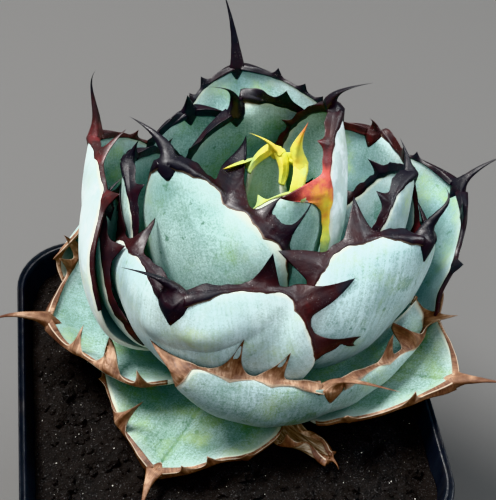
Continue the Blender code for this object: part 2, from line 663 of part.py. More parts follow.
# Leaves from the heart outwards: tip and bend are (azimuth, radius, height), root is (azimuth, height).
# Teeth are (distance from the tip, height, lean to the tip, curl inwards), for the left edge (1) and right (-1),
# or a count and a height.
LEAVES = [
    Leaf("leaf_young_1", (50, 10, 58), (60, 9, 34), (65, 19.2), 15, 80, cup_root=0, thick=1.6,
         horn=YOUNG_HORN, spine=(9, 0.1, 0.0), cells=(4, 6), horn_width=1.0, teeth=(1, 5)),
    Leaf("leaf_young_2", (20, 12, 57), (10, 13, 30), (350, 15.6), 22, 70, cup_root=0, thick=1.8,
         horn=YOUNG_HORN, spine=(9, 0.1, 0.0), cells=(4, 6), horn_width=1.2, teeth=(1, 6)),
    Leaf("leaf_inner_front", (340, 11, 56), (290, 18, 22), (280, 15), 34, 85, horn=YOUNG_HORN, thick=2.4,
         spine=(8, 0.3, 0.0), teeth={1: [(15, 5, 0, 0)], -1: [(12, 5, 0, 0)]}),
    Leaf("leaf_ball", (165, 19, 61), (238, 29, 24), (245, 15), 60, 88, shoulder=2.6, roundness=0.7, left=0.64,
         right=0.85, spine=(10, 0.0, -0.8), horn_width=2.6, horn_from_right=0.8, cells=(8, 10),
         teeth={1: [(19, 11, 0.2, 0.1), (35, 10, 0.3, 0.0)], -1: [(14, 4, 0, 0)]}),
    Leaf("leaf_inner_right", (36, 26, 62), (18, 28, 20), (12, 14.8), 38, 78, roll=-8, spine=(8, -0.6, -0.7),
         teeth={1: [(14, 4, 0, 0)], -1: [(12, 2.5, 0, 0), (22, 12, 0.3, 0.2)]}),
    Leaf("leaf_inner_back", (91, 23, 56), (91, 24, 16), (91, 14.4), 44, 60, spine=(10, 0.3, 0.3),
         teeth={1: [(12, 5, 0, 0)], -1: [(11, 6, 0.3, 0)]}),
    Leaf("leaf_inner_left", (148, 31, 51), (155, 32, 12), (160, 13.9), 40, 55,
         spine=(6, 0.3, 0.0), teeth=(2, 4)),
    Leaf("leaf_right_fold", (12, 40, 46), (345, 34, 12), (345, 13.4), 40, 60,
         spine=(7, 0.4, 0.3), teeth=(2, 4)),
    Leaf("leaf_right_back", (36, 42, 44), (36, 32, 10), (36, 13), 48, 45,
         spine=(5, 0.8, 0.0), teeth=(2, 5)),
    Leaf("leaf_back_left", (108, 35, 49), (108, 32, 10), (108, 12.5), 46, 50,
         spine=(8, 0.5, 0.2), teeth=(2, 6)),
    Leaf("leaf_front_right", (344, 40, 43), (312, 40, 10), (318, 11), 66, 72, shoulder=3.0, roundness=0.7,
         widest=0.6, spine=(9, -0.6, 0.3), cells=(8, 10), horn_width=2.2,
         teeth={1: [(10, 6, 0, 0)], -1: [(15, 8, 0.1, 0.0), (28, 8, -0.3, 0.1)]}),
    Leaf("leaf_front_left", (231, 32, 48), (236, 41, 12), (236, 12), 88, 92, shoulder=3.2, roundness=0.7,
         widest=0.6, left=0.72, right=0.78, spine=(7, 0.1, -1.5), cells=(10, 10), horn_width=2.0,
         teeth={1: [(18, 6, 0, -0.9), (28, 11, 0.2, 0.2), (40, 9, 0, -0.4), (50, 7, 0, -0.3)],
                -1: [(17, 7, -0.3, 0.3), (30, 11, 0.2, 0.4)]}),
    Leaf("leaf_left", (168, 33, 45), (175, 36, 10), (182, 10.5), 34, 60, spine=(7, 0.5, -0.3), teeth=(2, 5)),
    Leaf("leaf_back", (86, 57, 43), (86, 40, 8), (86, 9.5), 60, 35, roundness=0.75, left=0.65,
         spine=(21, 0.05, 0.15), cells=(8, 10), horn_width=1.0, teeth=(3, 4)),
    Leaf("leaf_far_left", (138, 46, 46), (160, 42, 12), (150, 8.5), 54, 40, shoulder=2.8, roundness=0.7,
         spine=(17, -0.2, 0.1), cells=(8, 10),
         teeth={1: [(11, 8, 0.2, 0.2), (26, 6, -0.2, 0)], -1: [(12, 2, 0, 0)]}),
    Leaf("leaf_front", (291, 37, 23), (283, 41, 3), (282, 7.5), 92, 64, shoulder=3.2, roundness=0.7, left=0.85,
         right=0.8, cup_tip=30, widest=0.6, horn_from_right=0.5, horn=DRY_HORN, spine=(12, -0.8, 0.8), cells=(10, 10),
         horn_width=1.2, teeth={1: [(14, 6, -0.2, -0.4), (25, 9, 0.2, 0.3), (33, 9, 0.1, 0)],
                                -1: [(12, 7, 0.1, -0.4), (22, 8, 0, -0.6), (36, 8, 0.1, -0.8)]}),
    Leaf("leaf_far_right", (14, 56, 33), (14, 40, 4), (14, 6.5), 60, 42, right=0.8, spine=(14, -0.5, -0.1),
         cells=(8, 10), horn_width=1.0,
         teeth={1: [(12, 2, 0, 0), (24, 3, 0, 0)], -1: [(9, 7, 0, 0.3), (22, 5, 0, 0)]}),
    Leaf("leaf_low_left", (180, 51, 15), (186, 25, 2), (195, 5.5), 66, 40, shoulder=2.0, roundness=0.8, left=0.7,
         right=1.1, horn=DRY_HORN, spine=(16, -0.2, 0.2), cells=(8, 10), horn_width=0.9,
         teeth={1: [(13, 6, 0, 0.4), (23, 9, 0.2, 0.5), (32, 5, 0, 0.5)], -1: [(20, 7, 0.3, 0), (32, 4, 0, 0)]}),
    Leaf("leaf_low_right", (324, 55, 16), (324, 28, 2), (324, 5), 56, 32, shoulder=1.8, roundness=0.8, left=0.8,
         right=0.75, horn=DRY_HORN, spine=(13, 0.0, 0.0), cells=(8, 10), horn_width=0.9,
         teeth={1: [(20, 6, 0, 0.3), (32, 4, 0, 0)], -1: [(12, 5, 0.2, 0.6), (27, 6, 0.2, 0.5)]}),
    Leaf("leaf_low_back_right", (58, 50, 25), (58, 28, 11), (52, 4.5), 50, 30, horn=DRY_HORN,
         spine=(12, 0.0, 0.0), teeth=(3, 4), horn_width=0.9),
    Leaf("leaf_low_back_left", (128, 48, 28), (128, 28, 15), (128, 4), 42, 30, right=0.8, horn=DRY_HORN,
         spine=(12, 0.0, 0.0), teeth=(3, 4), horn_width=0.9),
    Leaf("leaf_lowest", (235, 50, 5), (235, 25, 2), (240, 3), 52, 22, shoulder=1.6, roundness=0.85, left=0.85,
         horn=DRY_HORN, spine=(11, -0.3, 0.3), cells=(8, 10), horn_width=0.9,
         teeth={1: [(7, 4, 0.2, 0.6), (20, 5, 0.2, 0.6)], -1: [(15, 9, 0.2, 0.7), (27, 4, 0, 0.3)]}),
    Leaf("leaf_dry", (287, 44, 3), (264, 28, 2), (262, 2), 13, 35, widest=0.7, roundness=0.8, thick=1.4, wave=1.6,
         flesh=DRY_LEAF, horn=DRY_HORN, spine=(6, 0.2, -0.6), cells=(4, 12), horn_width=0.6, horn_from=0.7,
         teeth={1: [(7, 3, 0, 0.5)], -1: [(11, 3, 0, 0.5)]}),
]


def make_soil(finish, pressing):
    """Soil that fills the pot to its wall, with a plain hole for the stem and hollows where leaves lie on it."""
    tree = tree_of(pressing)
    wall = wall_outline(SOIL_LEVEL, -POT_WALL - GAP, SOIL_SIDE_STEPS)[:, :2]
    middle = np.array([PLANT_X, PLANT_Y])
    hole = middle + HOLE_RADIUS * unit(wall - middle)
    rings = [hole_ring(hole, SOIL_LEVEL - STEM_DEPTH - GAP), hole_ring(hole, SOIL_LEVEL - 12.0)]
    for step in range(SOIL_RINGS + 1):
        share = (step / SOIL_RINGS) ** 0.9
        flat = hole + (wall - hole) * share
        height = SOIL_LEVEL - SOIL_DIP * share**2 + soil_lumps(flat)
        if tree is not None:
            height = np.array([pressed_height(spot, level, tree) for spot, level in zip(flat, height)])
        rings.append(np.column_stack([flat, height]))
    foot = POT_FLOOR + GAP
    rings.append(wall_outline(foot, -POT_WALL - GAP, SOIL_SIDE_STEPS))
    points, faces = lofted(rings)
    return solid("soil", points, faces, finish)


def hole_ring(hole, height):
    return np.column_stack([hole, np.full(len(hole), height)])


def soil_lumps(flat):
    x, y = flat[:, 0], flat[:, 1]
    return SOIL_LUMP * (np.sin(0.31 * x + 1.3) * np.cos(0.27 * y) + 0.6 * np.sin(0.73 * x - 0.5 * y))


def pressed_height(spot, level, tree):
    """The soil's level at a spot, lowered where a leaf lies on it."""
    lowest = level
    for across in (-SOIL_FEEL, 0.0, SOIL_FEEL):
        for deep in (-SOIL_FEEL, 0.0, SOIL_FEEL):
            under = Vector((spot[0] - PLANT_X + across, spot[1] - PLANT_Y + deep, -STEM_DEPTH))
            hit = tree.ray_cast(under, Vector((0, 0, 1)), 2 * STEM_DEPTH)
            if hit[0] is not None:
                lowest = min(lowest, SOIL_LEVEL + hit[0].z - SOIL_UNDER_LEAF)
    return lowest


def make_rosette():
    """The leaves from the heart outwards, then their horns. Returns the skins that the soil lies against."""
    at = (PLANT_X, PLANT_Y, SOIL_LEVEL)
    points, faces = bud_skin()
    solid("bud", points, faces, material(FINISH_NAMES[YOUNG_HORN], *YOUNG_HORN), at)
    skins = [(points, faces)]
    edges = []
    for leaf in LEAVES:
        leaf.press_on(tree_of(skins))
        points, faces, edge = leaf.blade()
        solid(leaf.name, points, faces, material(FINISH_NAMES[leaf.flesh], *leaf.flesh), at)
        skins.append((points, faces))
        edges.append(edge)
    horns = []
    for index, leaf in enumerate(LEAVES):
        inner = tree_of(skins[: index + 1])
        outer = tree_of(skins[index + 2 :])
        others = tree_of(horns + [skins[index + 1]])
        points, faces = horn(leaf, edges[index], inner, outer, others)
        finish = material(FINISH_NAMES[leaf.horn], *leaf.horn)
        solid("horn" + leaf.name[4:], points, faces, finish, at)
        horns.append((points, faces))
    return skins + horns


def main():
    for thing in list(bpy.data.objects):
        bpy.data.objects.remove(thing, do_unlink=True)
    make_pot(material("black_plastic", *BLACK_PLASTIC))
    make_stem(material("stem_flesh", *STEM_FLESH))
    skins = make_rosette()
    make_soil(material("peat", *PEAT), skins)


main()
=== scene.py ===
"""A potted agave: a compact rosette of cupped blue leaves with horned margins, in a square nursery pot.

Sizes are in millimetres, and MM turns them into metres where a mesh is made. The lights and the camera are
placed in metres.
"""

import math

import bmesh
import bpy
import numpy as np
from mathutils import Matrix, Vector
from mathutils.bvhtree import BVHTree


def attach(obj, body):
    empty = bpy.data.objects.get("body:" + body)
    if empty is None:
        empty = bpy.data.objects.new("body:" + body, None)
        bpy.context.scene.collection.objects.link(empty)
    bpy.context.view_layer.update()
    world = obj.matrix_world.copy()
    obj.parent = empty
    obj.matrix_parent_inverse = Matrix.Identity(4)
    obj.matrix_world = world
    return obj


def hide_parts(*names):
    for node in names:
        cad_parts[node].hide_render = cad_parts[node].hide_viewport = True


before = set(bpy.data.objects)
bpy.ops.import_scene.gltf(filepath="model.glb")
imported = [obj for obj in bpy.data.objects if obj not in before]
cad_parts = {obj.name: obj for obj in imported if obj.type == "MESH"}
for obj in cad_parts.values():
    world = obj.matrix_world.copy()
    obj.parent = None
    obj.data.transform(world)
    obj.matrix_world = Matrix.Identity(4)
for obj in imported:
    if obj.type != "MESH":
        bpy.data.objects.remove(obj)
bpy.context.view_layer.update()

# Pot
# A square nursery pot, moulded in one thin shell of black plastic: tapered walls with round corners, a
# stepped rim with two fine ridges along its top, and drain holes through the floor.
MM = 0.001
POT_HEIGHT = 90.0
POT_BASE_SIDE = 78.0
POT_TOP_SIDE = 98.4
POT_BASE_CORNER = 11.2
POT_WALL = 1.2
POT_FLOOR = 2.0
CORNER_CUTS = 10
FIRST_SLICE = 1.0
DRAIN_OUT = 24.0
DRAIN_RADIUS = 4.0
DRAIN_SIDES = 24
DRAIN_CUT = 8.0
SOFT_EDGE = 0.4
TOP_FACING = 0.9
SHARP_FROM = math.radians(50)
SMOOTH_TO = math.radians(40)
# (height, distance out from the plain wall), up the outside, over the rim and down the inside
RIM_PROFILE = [
    (3.0, 0.0), (20.0, 0.0), (40.0, 0.0), (60.0, 0.0), (80.4, 0.0), (81.0, 0.25), (81.5, 0.65), (82.0, 0.8),
    (88.8, 0.8), (89.5, 0.72), (89.9, 0.5), (90.0, 0.3), (89.8, 0.1), (89.45, -0.05), (89.3, -0.15),
    (89.45, -0.25), (89.8, -0.4), (90.0, -0.6), (89.9, -0.9), (89.4, -1.12), (88.6, -1.2), (70.0, -1.2),
    (45.0, -1.2), (20.0, -1.2), (3.2, -1.3), (2.0, -2.4),
]


def deselect():
    bpy.ops.object.select_all(action="DESELECT")
    bpy.context.view_layer.objects.active = None


def active(piece):
    deselect()
    piece.select_set(True)
    bpy.context.view_layer.objects.active = piece


def apply_all(piece):
    """Applies the piece's modifiers in order, and its place, so that its object stands at the origin."""
    active(piece)
    for modifier in list(piece.modifiers):
        bpy.ops.object.modifier_apply(modifier=modifier.name)
    bpy.ops.object.transform_apply(location=True, rotation=True, scale=True)


def settle(piece, name, material, slot, *nodes):
    """Names a finished piece, gives it its material, and ties it to the frame."""
    piece.name = name
    piece.data.name = name
    piece.data.materials.clear()
    piece.data.materials.append(material)
    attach(piece, "root")
    if nodes:
        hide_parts(*nodes)


def wall_side(height, out=0.0):
    """The pot's outer width at a height, or the width some way out from its wall there."""
    return POT_BASE_SIDE + (POT_TOP_SIDE - POT_BASE_SIDE) * height / POT_HEIGHT + 2 * out


def put(tree, kind, inputs=None, **settings):
    """One shader node: its settings, and each input set to a value or linked to another node's output."""
    made = tree.nodes.new("ShaderNode" + kind)
    for key, value in settings.items():
        setattr(made, key, value)
    for key, value in (inputs or {}).items():
        if isinstance(value, bpy.types.NodeSocket):
            tree.links.new(value, made.inputs[key])
        else:
            made.inputs[key].default_value = value
    return made


def colour(red, green, blue):
    return (red, green, blue, 1.0)


def blend(tree, share, first, second, mode="MIX"):
    """Mixes two colours by a share, and returns the mixed colour."""
    return put(tree, "Mix", {0: share, 6: first, 7: second}, data_type="RGBA", blend_type=mode).outputs[2]


def maths(tree, how, *values):
    return put(tree, "Math", dict(enumerate(values)), operation=how).outputs[0]


def plus(tree, first, second):
    return maths(tree, "ADD", first, second)


def minus(tree, first, second):
    return maths(tree, "SUBTRACT", first, second)


def times(tree, first, second):
    return maths(tree, "MULTIPLY", first, second)


def more(tree, amount, mask, share):
    return plus(tree, amount, times(tree, mask, share))


def less(tree, amount, mask, share):
    return minus(tree, amount, times(tree, mask, share))


def spread(tree, value, low, high, to_low=0.0, to_high=1.0):
    """The value's range from low to high stretched over another range, and held at its ends."""
    inputs = {"Value": value, "From Min": low, "From Max": high, "To Min": to_low, "To Max": to_high}
    return put(tree, "MapRange", inputs, clamp=True).outputs[0]


def ramp(tree, value, stops):
    """A colour read along a row of (place, colour) stops."""
    made = put(tree, "ValToRGB", {"Fac": value})
    band = made.color_ramp
    while len(band.elements) < len(stops):
        band.elements.new(1.0)
    for element, (place, shade) in zip(band.elements, stops):
        element.position = place
        element.color = shade
    return made.outputs[0]


def new_material(name, **sockets):
    made = bpy.data.materials.new(name)
    made.use_nodes = True
    shader = made.node_tree.nodes["Principled BSDF"]
    for key, value in sockets.items():
        shader.inputs[key.replace("_", " ")].default_value = value
    return made, made.node_tree, shader


def stretched(tree, where, *scale):
    return put(tree, "Mapping", {"Vector": where, "Scale": scale}).outputs[0]


def object_place(tree):
    return put(tree, "TexCoord").outputs["Object"]


def make_speckle():
    """Group: a mask of soft-edged specks or patches, from a noise cut between two levels."""
    group = bpy.data.node_groups.new("speckle", "ShaderNodeTree")
    face = group.interface
    face.new_socket("Vector", in_out="INPUT", socket_type="NodeSocketVector")
    for name, value in (("Scale", 100.0), ("Detail", 3.0), ("Low", 0.5), ("High", 0.6)):
        face.new_socket(name, in_out="INPUT", socket_type="NodeSocketFloat").default_value = value
    face.new_socket("Mask", in_out="OUTPUT", socket_type="NodeSocketFloat")
    given = group.nodes.new("NodeGroupInput").outputs
    inputs = {"Vector": given["Vector"], "Scale": given["Scale"], "Detail": given["Detail"], "Roughness": 0.6}
    noise = put(group, "TexNoise", inputs).outputs["Fac"]
    mask = spread(group, noise, given["Low"], given["High"])
    group.links.new(mask, group.nodes.new("NodeGroupOutput").inputs[0])
    return group


speckle_group = make_speckle()


def speckle(tree, where, scale, low, high, detail=3.0):
    inputs = {"Vector": where, "Scale": scale, "Low": low, "High": high, "Detail": detail}
    return put(tree, "Group", inputs, node_tree=speckle_group).outputs[0]


def bump(tree, shader, height, depth, strength=1.0):
    """Feeds the shader's normal with a bump whose height runs over depth, in metres."""
    made = put(tree, "Bump", {"Height": height, "Distance": depth, "Strength": strength})
    tree.links.new(made.outputs[0], shader.inputs["Normal"])


def paint(tree, shader, colours, roughness=None):
    """Links the colours to the shader, and the roughness where it varies over the surface."""
    tree.links.new(colours, shader.inputs["Base Color"])
    if roughness:
        tree.links.new(roughness, shader.inputs["Roughness"])


deselect()
bpy.ops.mesh.primitive_cube_add(size=1, location=(0, 0, 0))
pot = bpy.context.object
bpy.ops.object.mode_set(mode="EDIT")
bpy.ops.transform.resize(value=(POT_BASE_SIDE * MM, POT_BASE_SIDE * MM, FIRST_SLICE * MM))
bpy.ops.transform.translate(value=(0, 0, FIRST_SLICE / 2 * MM))
bpy.ops.mesh.select_all(action="DESELECT")
work = bmesh.from_edit_mesh(pot.data)
for edge in work.edges:
    if abs(edge.verts[0].co.z - edge.verts[1].co.z) > FIRST_SLICE / 2 * MM:
        edge.select = True
bmesh.update_edit_mesh(pot.data)
bpy.ops.mesh.bevel(offset=POT_BASE_CORNER * MM, segments=CORNER_CUTS, affect="EDGES", profile=0.5)
bpy.ops.mesh.select_all(action="DESELECT")
work = bmesh.from_edit_mesh(pot.data)
work.faces.ensure_lookup_table()
for face in work.faces:
    if face.normal.z > TOP_FACING:
        face.select = True
bmesh.update_edit_mesh(pot.data)
level, wide = FIRST_SLICE, POT_BASE_SIDE
for height, out in RIM_PROFILE:
    grown = wall_side(height, out) / wide
    bpy.ops.mesh.extrude_region_move(TRANSFORM_OT_translate={"value": (0, 0, (height - level) * MM)})
    bpy.ops.transform.resize(value=(grown, grown, 1), center_override=(0, 0, height * MM))
    level, wide = height, wall_side(height, out)
bpy.ops.object.mode_set(mode="OBJECT")
for across in (-DRAIN_OUT, 0.0, DRAIN_OUT):
    for deep in (-DRAIN_OUT, 0.0, DRAIN_OUT):
        if across == deep == 0.0:
            continue
        deselect()
        hole_at = (across * MM, deep * MM, POT_FLOOR / 2 * MM)
        bpy.ops.mesh.primitive_cylinder_add(vertices=DRAIN_SIDES, radius=DRAIN_RADIUS * MM,
                                            depth=DRAIN_CUT * MM, location=hole_at)
        cutter = bpy.context.object
        active(pot)
        hole = pot.modifiers.new("drain", "BOOLEAN")
        hole.object = cutter
        bpy.ops.object.modifier_apply(modifier="drain")
        bpy.data.objects.remove(cutter)
soften = pot.modifiers.new("soften", "BEVEL")
soften.width = SOFT_EDGE * MM
soften.segments = 2
soften.limit_method = "ANGLE"
soften.angle_limit = SHARP_FROM
apply_all(pot)
bpy.ops.object.shade_smooth_by_angle(angle=SMOOTH_TO)

pot_plastic, tree, shader = new_material("pot_plastic", Roughness=0.4, Specular_IOR_Level=0.45)
where = object_place(tree)
flow = speckle(tree, stretched(tree, where, 60, 60, 6), 8, 0.35, 0.7)
dust = speckle(tree, where, 90, 0.5, 0.75)
grit = speckle(tree, where, 2600, 0.62, 0.7)
body = blend(tree, flow, colour(0.008, 0.009, 0.012), colour(0.014, 0.016, 0.021))
dusty = blend(tree, times(tree, dust, 0.35), body, colour(0.055, 0.05, 0.045))
specked = blend(tree, times(tree, grit, 0.25), dusty, colour(0.09, 0.08, 0.07))
paint(tree, shader, specked, spread(tree, plus(tree, flow, dust), 0, 2, 0.3, 0.62))
bump(tree, shader, plus(tree, flow, grit), 0.00008, 0.6)
settle(pot, "nursery_pot", pot_plastic, "black_plastic", "pot")

# Stem
# The short fleshy stem that carries all the leaves, with the cream and brown of old leaf scars. Only its
# foot in the soil could be seen, between the lowest leaves, so its plain solid stays.
PLANT_X = 10.0
PLANT_Y = 16.0
SOIL_LEVEL = 84.0
AT = np.array([PLANT_X, PLANT_Y, SOIL_LEVEL])

stem_skin, tree, shader = new_material("stem_skin", Roughness=0.75)
bands = speckle(tree, stretched(tree, object_place(tree), 40, 40, 600), 1.0, 0.4, 0.62)
paint(tree, shader, blend(tree, bands, colour(0.42, 0.38, 0.24), colour(0.16, 0.09, 0.05)))
bump(tree, shader, bands, 0.0003)
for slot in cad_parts["stem"].material_slots:
    slot.material = stem_skin

# Leaf form
# Each leaf is a thick waxy blade that is pressed round those inside it: a bent midrib, a cupped section, a
# blunt tip, and margins that swell under every tooth. Places are (azimuth, radius, height) about the
# plant's own axis.
GAP = 0.3
STEM_TOP = 20.0
STEM_LOW_RADIUS = 6.5
STEM_HIGH_RADIUS = 2.6
HEART = np.array([0.0, 0.0, 40.0])
PRESS_GAP = 1.0
PRESS_REACH = 200.0
PRESS_ROWS = 33
PRESS_COLUMNS = 25
PRESS_SPREAD = 2
PRESS_SMOOTHING = 8
PRESS_SOFTENING = 3
ROOT_HALF_WIDTH = 3.6
TIP_HALF_WIDTH = 1.4
EDGE_THICKNESS = 1.0
MIDRIB_THICKNESS = 3.2
EDGE_ROUND = 1.6
EDGE_SHARE = 0.45
BLADE_END = 0.9975
ROW_CROWDING = 2.0
ROOT_SEATED = 0.2
CUP_STEPS = 8
CUP_AT_ROOT = 0.5
CUP_AT_TIP = 0.8
COLUMN_EVENNESS = 0.6
MARGIN_ROWS = 401
MIDRIB_STATIONS = 41
MIDRIB_ENDS = 10
FAN = 0.4
ROOT_RISE = 1.3
TIP_THINNING = 0.6
RIPPLES = 2.6
RIPPLE_TURN = 0.1
RIPPLE_FROM = 0.3
RIPPLE_RISE = 3
RIPPLE_FALL = 6
RUMPLE_ACROSS = (0.42, 0.23)
RUMPLE_ALONG = (9, 11)
RUMPLE_TURN = 0.37
SEAT_GAP = 0.1
BULGE_FOOT = 1.2
BULGE_SLOPE = 0.3
LEAST_BULGE = 0.01
TALL_TOOTH = 8.0
LAST_TOOTH = 0.12
TOOTH_RUN = 0.7
TOOTH_STRAY = 0.2
TOOTH_HEIGHTS = (0.6, 1.1)
TOOTH_LEAN = 0.3
STEP = 0.004
# What a leaf has where its own entry says nothing else.
# Form: where along it is widest, how full its shoulder is, how blunt its tip, its width left and right as
# shares, roll in degrees, thickness, waves of the margins, rumples, dents as (across, along, extent across,
# extent along, depth), swellings under teeth, and the mesh's cells.
# Skin: how white the outer face is, partly bloom and partly painted highlight, and how green.
# Horn: where it begins, how wide it is and how far it clasps the face, its teeth and how pointed they are,
# its spine as (length, lift, aside), how stout and how drawn out that is and how its end hooks, and how ripe
# the horn is at its start and tip.
LEAF_HABIT = {
    "widest": 0.55, "shoulder": 2.6, "roundness": 0.65, "left": 1.0, "right": 1.0, "roll": 0.0,
    "thick": MIDRIB_THICKNESS, "wave": 0.8, "rumple": 0.22, "dents": (), "swell": 0.8, "cells": (44, 56),
    "pale": 0.0, "green": 0.0, "horn_from": 0.45, "horn_width": 1.5, "clasp": 0.6, "teeth": (4, 7.0),
    "point": 2.3, "spine": (14.0, 0.2, 0.0), "stout": 1.9, "draw": 1.7, "hook": (0.0, 0.0),
    "ripe": (0.85, 1.0), "ripe_left": None,
}


def unit(vectors):
    return vectors / np.linalg.norm(vectors, axis=-1, keepdims=True)


def place(azimuth, radius, height):
    angle = math.radians(azimuth)
    return np.array([radius * math.cos(angle), radius * math.sin(angle), height])


def stem_radius(height):
    return STEM_LOW_RADIUS + (STEM_HIGH_RADIUS - STEM_LOW_RADIUS) * np.clip(height / STEM_TOP, 0.0, 1.0)


def around(field):
    wide = np.pad(field, 1, mode="edge")
    return field, wide[:-2, 1:-1], wide[2:, 1:-1], wide[1:-1, :-2], wide[1:-1, 2:]


def smooth_above(need):
    """A smooth field that is nowhere under need, nor under what is needed a few samples away."""
    floor = need
    for _ in range(PRESS_SPREAD):
        floor = np.max(around(floor), axis=0)
    field = floor
    for _ in range(PRESS_SMOOTHING):
        field = np.maximum(np.mean(around(field), axis=0), floor)
    for _ in range(PRESS_SOFTENING):
        field = np.mean(around(field), axis=0)
    return field


def soft_weights(share):
    """How much each of four neighbouring samples counts at a share of the way between the middle two."""
    back = 1 - share
    near_first = (3 * share**3 - 6 * share**2 + 4) / 6
    near_second = (3 * back**3 - 6 * back**2 + 4) / 6
    return back**3 / 6, near_first, near_second, share**3 / 6


def shortfall(point, trees, gap):
    """How far the point must move out from the heart to stand clear of the trees by gap."""
    away = point - HEART
    distance = np.linalg.norm(away)
    direction = Vector(away / distance)
    start = Vector(HEART) + direction * PRESS_REACH
    need = 0.0
    for tree in trees:
        hit = tree.ray_cast(start, -direction, PRESS_REACH)
        if hit[0] is not None:
            need = max(need, PRESS_REACH - hit[3] + gap - distance)
    return need


class Leaf:
    """One leaf. Its surface is read at u, from -1 to 1 across, and t, from 0 at the root to 1 at the tip.

    Looking out from the axis, u = 1 is the left margin.
    """

    def __init__(self, name, tip, bend, root, width, cup, **own):
        self.name = name
        self.tip = tip
        self.bend = bend
        self.root = root
        self.width = width
        self.cup = cup
        self.cup_root = own.pop("cup_root", CUP_AT_ROOT * cup)
        self.cup_tip = own.pop("cup_tip", CUP_AT_TIP * cup)
        for key, value in {**LEAF_HABIT, **own}.items():
            setattr(self, key, value)
        self.horn_from_right = own.get("horn_from_right", self.horn_from)
        self.press = np.zeros((PRESS_ROWS, PRESS_COLUMNS))
        self.seat = np.zeros(3)
        self.bulges = {1: [], -1: []}
        self.set_line()
        self.set_bulges()

    def set_line(self):
        """The midrib: a curve through root, bend and tip, with the blade's cross and up directions on it."""
        azimuth, height = self.root
        start = place(azimuth, stem_radius(height) + GAP, height)
        middle = place(*self.bend)
        end = place(*self.tip)
        t = np.linspace(0.0, 1.0, MIDRIB_STATIONS)[:, None]
        points = (1 - t) ** 2 * start + 2 * t * (1 - t) * middle + t**2 * end
        along = unit(2 * (1 - t) * (middle - start) + 2 * t * (end - middle))
        side = place(self.bend[0] + 90.0, 1.0, 0.0)
        across = unit(side - (along @ side)[:, None] * along)
        up = np.cross(along, across)
        turn = math.radians(self.roll)
        mean_up = unit(up[MIDRIB_ENDS:-MIDRIB_ENDS].mean(axis=0))
        up = unit(FAN * up + (1 - FAN) * mean_up)
        up = unit(up - (up * across).sum(axis=1)[:, None] * across)
        tilted = across * math.cos(turn) + up * math.sin(turn)
        self.line = t[:, 0], points, tilted, up * math.cos(turn) - across * math.sin(turn)

    def on_line(self, t):
        stations, *arrays = self.line
        read = []
        for array in arrays:
            read.append(np.stack([np.interp(t, stations, array[:, axis]) for axis in range(3)], axis=-1))
        return read[0], unit(read[1]), unit(read[2])

    def half_width(self, t):
        rise = np.sin(0.5 * math.pi * np.clip(t / self.widest, 0, 1)) ** ROOT_RISE
        growing = ROOT_HALF_WIDTH + (self.width / 2 - ROOT_HALF_WIDTH) * rise
        shrink = np.clip((t - self.widest) / (1 - self.widest), 0, 1)
        closing = self.width / 2 * (1 - shrink**self.shoulder) ** self.roundness
        return np.maximum(np.where(t < self.widest, growing, closing), TIP_HALF_WIDTH)

    def reach(self, u, t):
        """Half width on this side of the midrib, with the margin's swellings under its teeth."""
        plain = self.half_width(t) * np.where(u > 0, self.left, self.right)
        swelling = np.zeros_like(plain)
        for side, bulges in self.bulges.items():
            for middle, spread_t, tall in bulges:
                grown = tall * np.exp(-(((t - middle) / spread_t) ** 2))
                swelling = swelling + np.where(u * side > 0, grown, 0.0)
        return plain + swelling * np.abs(u) ** 3

    def cup_angle(self, t):
        middle = 2 * self.cup - 0.5 * (self.cup_root + self.cup_tip)
        return np.radians((1 - t) ** 2 * self.cup_root + 2 * t * (1 - t) * middle + t**2 * self.cup_tip)

    def thickness(self, u, t):
        plain = EDGE_THICKNESS + (self.thick - EDGE_THICKNESS) * (1 - u**2) * (1 - TIP_THINNING * t)
        rim = np.clip(1 - (1 - np.abs(u)) * self.half_width(t) / EDGE_ROUND, 0, 1)
        return plain * (EDGE_SHARE + (1 - EDGE_SHARE) * np.sqrt(1 - rim**2))

    def shape(self, u, t):
        """The inner face at (u, t): rows across the midrib, bent up round it, rippled, dented and pressed."""
        u, t = np.broadcast_arrays(np.asarray(u, float), np.asarray(t, float))
        point, across, up = self.on_line(t)
        reach = self.reach(u, t)
        angle = self.cup_angle(t)
        share = (np.arange(CUP_STEPS) + 0.5) / CUP_STEPS
        bends = angle[..., None] * u[..., None] * share
        out = np.cos(bends).mean(-1) * u * reach
        rise = np.sin(bends).mean(-1) * u * reach
        fade = np.clip(RIPPLE_RISE * (t - RIPPLE_FROM), 0, 1) * np.clip(RIPPLE_FALL * (1 - t), 0, 1)
        ripple = np.sin(2 * math.pi * RIPPLES * t + np.sign(u) + RIPPLE_TURN * self.width)
        lift = self.wave * ripple * np.abs(u) ** 3 * fade
        turn = RUMPLE_TURN * self.tip[0]
        rumple = np.sin(RUMPLE_ACROSS[0] * out + RUMPLE_ALONG[0] * t + turn)
        rumple = rumple * np.sin(RUMPLE_ALONG[1] * t - RUMPLE_ACROSS[1] * out + turn)
        lift = lift + self.rumple * rumple * fade
        for at_u, at_t, wide, long, deep in self.dents:
            lift = lift + deep * np.exp(-(((u - at_u) / wide) ** 2) - ((t - at_t) / long) ** 2)
        end = angle * u
        normal = np.cos(end)[..., None] * up - np.sin(end)[..., None] * across
        point = point + out[..., None] * across + rise[..., None] * up + lift[..., None] * normal
        return self.pressed(point, u, t)

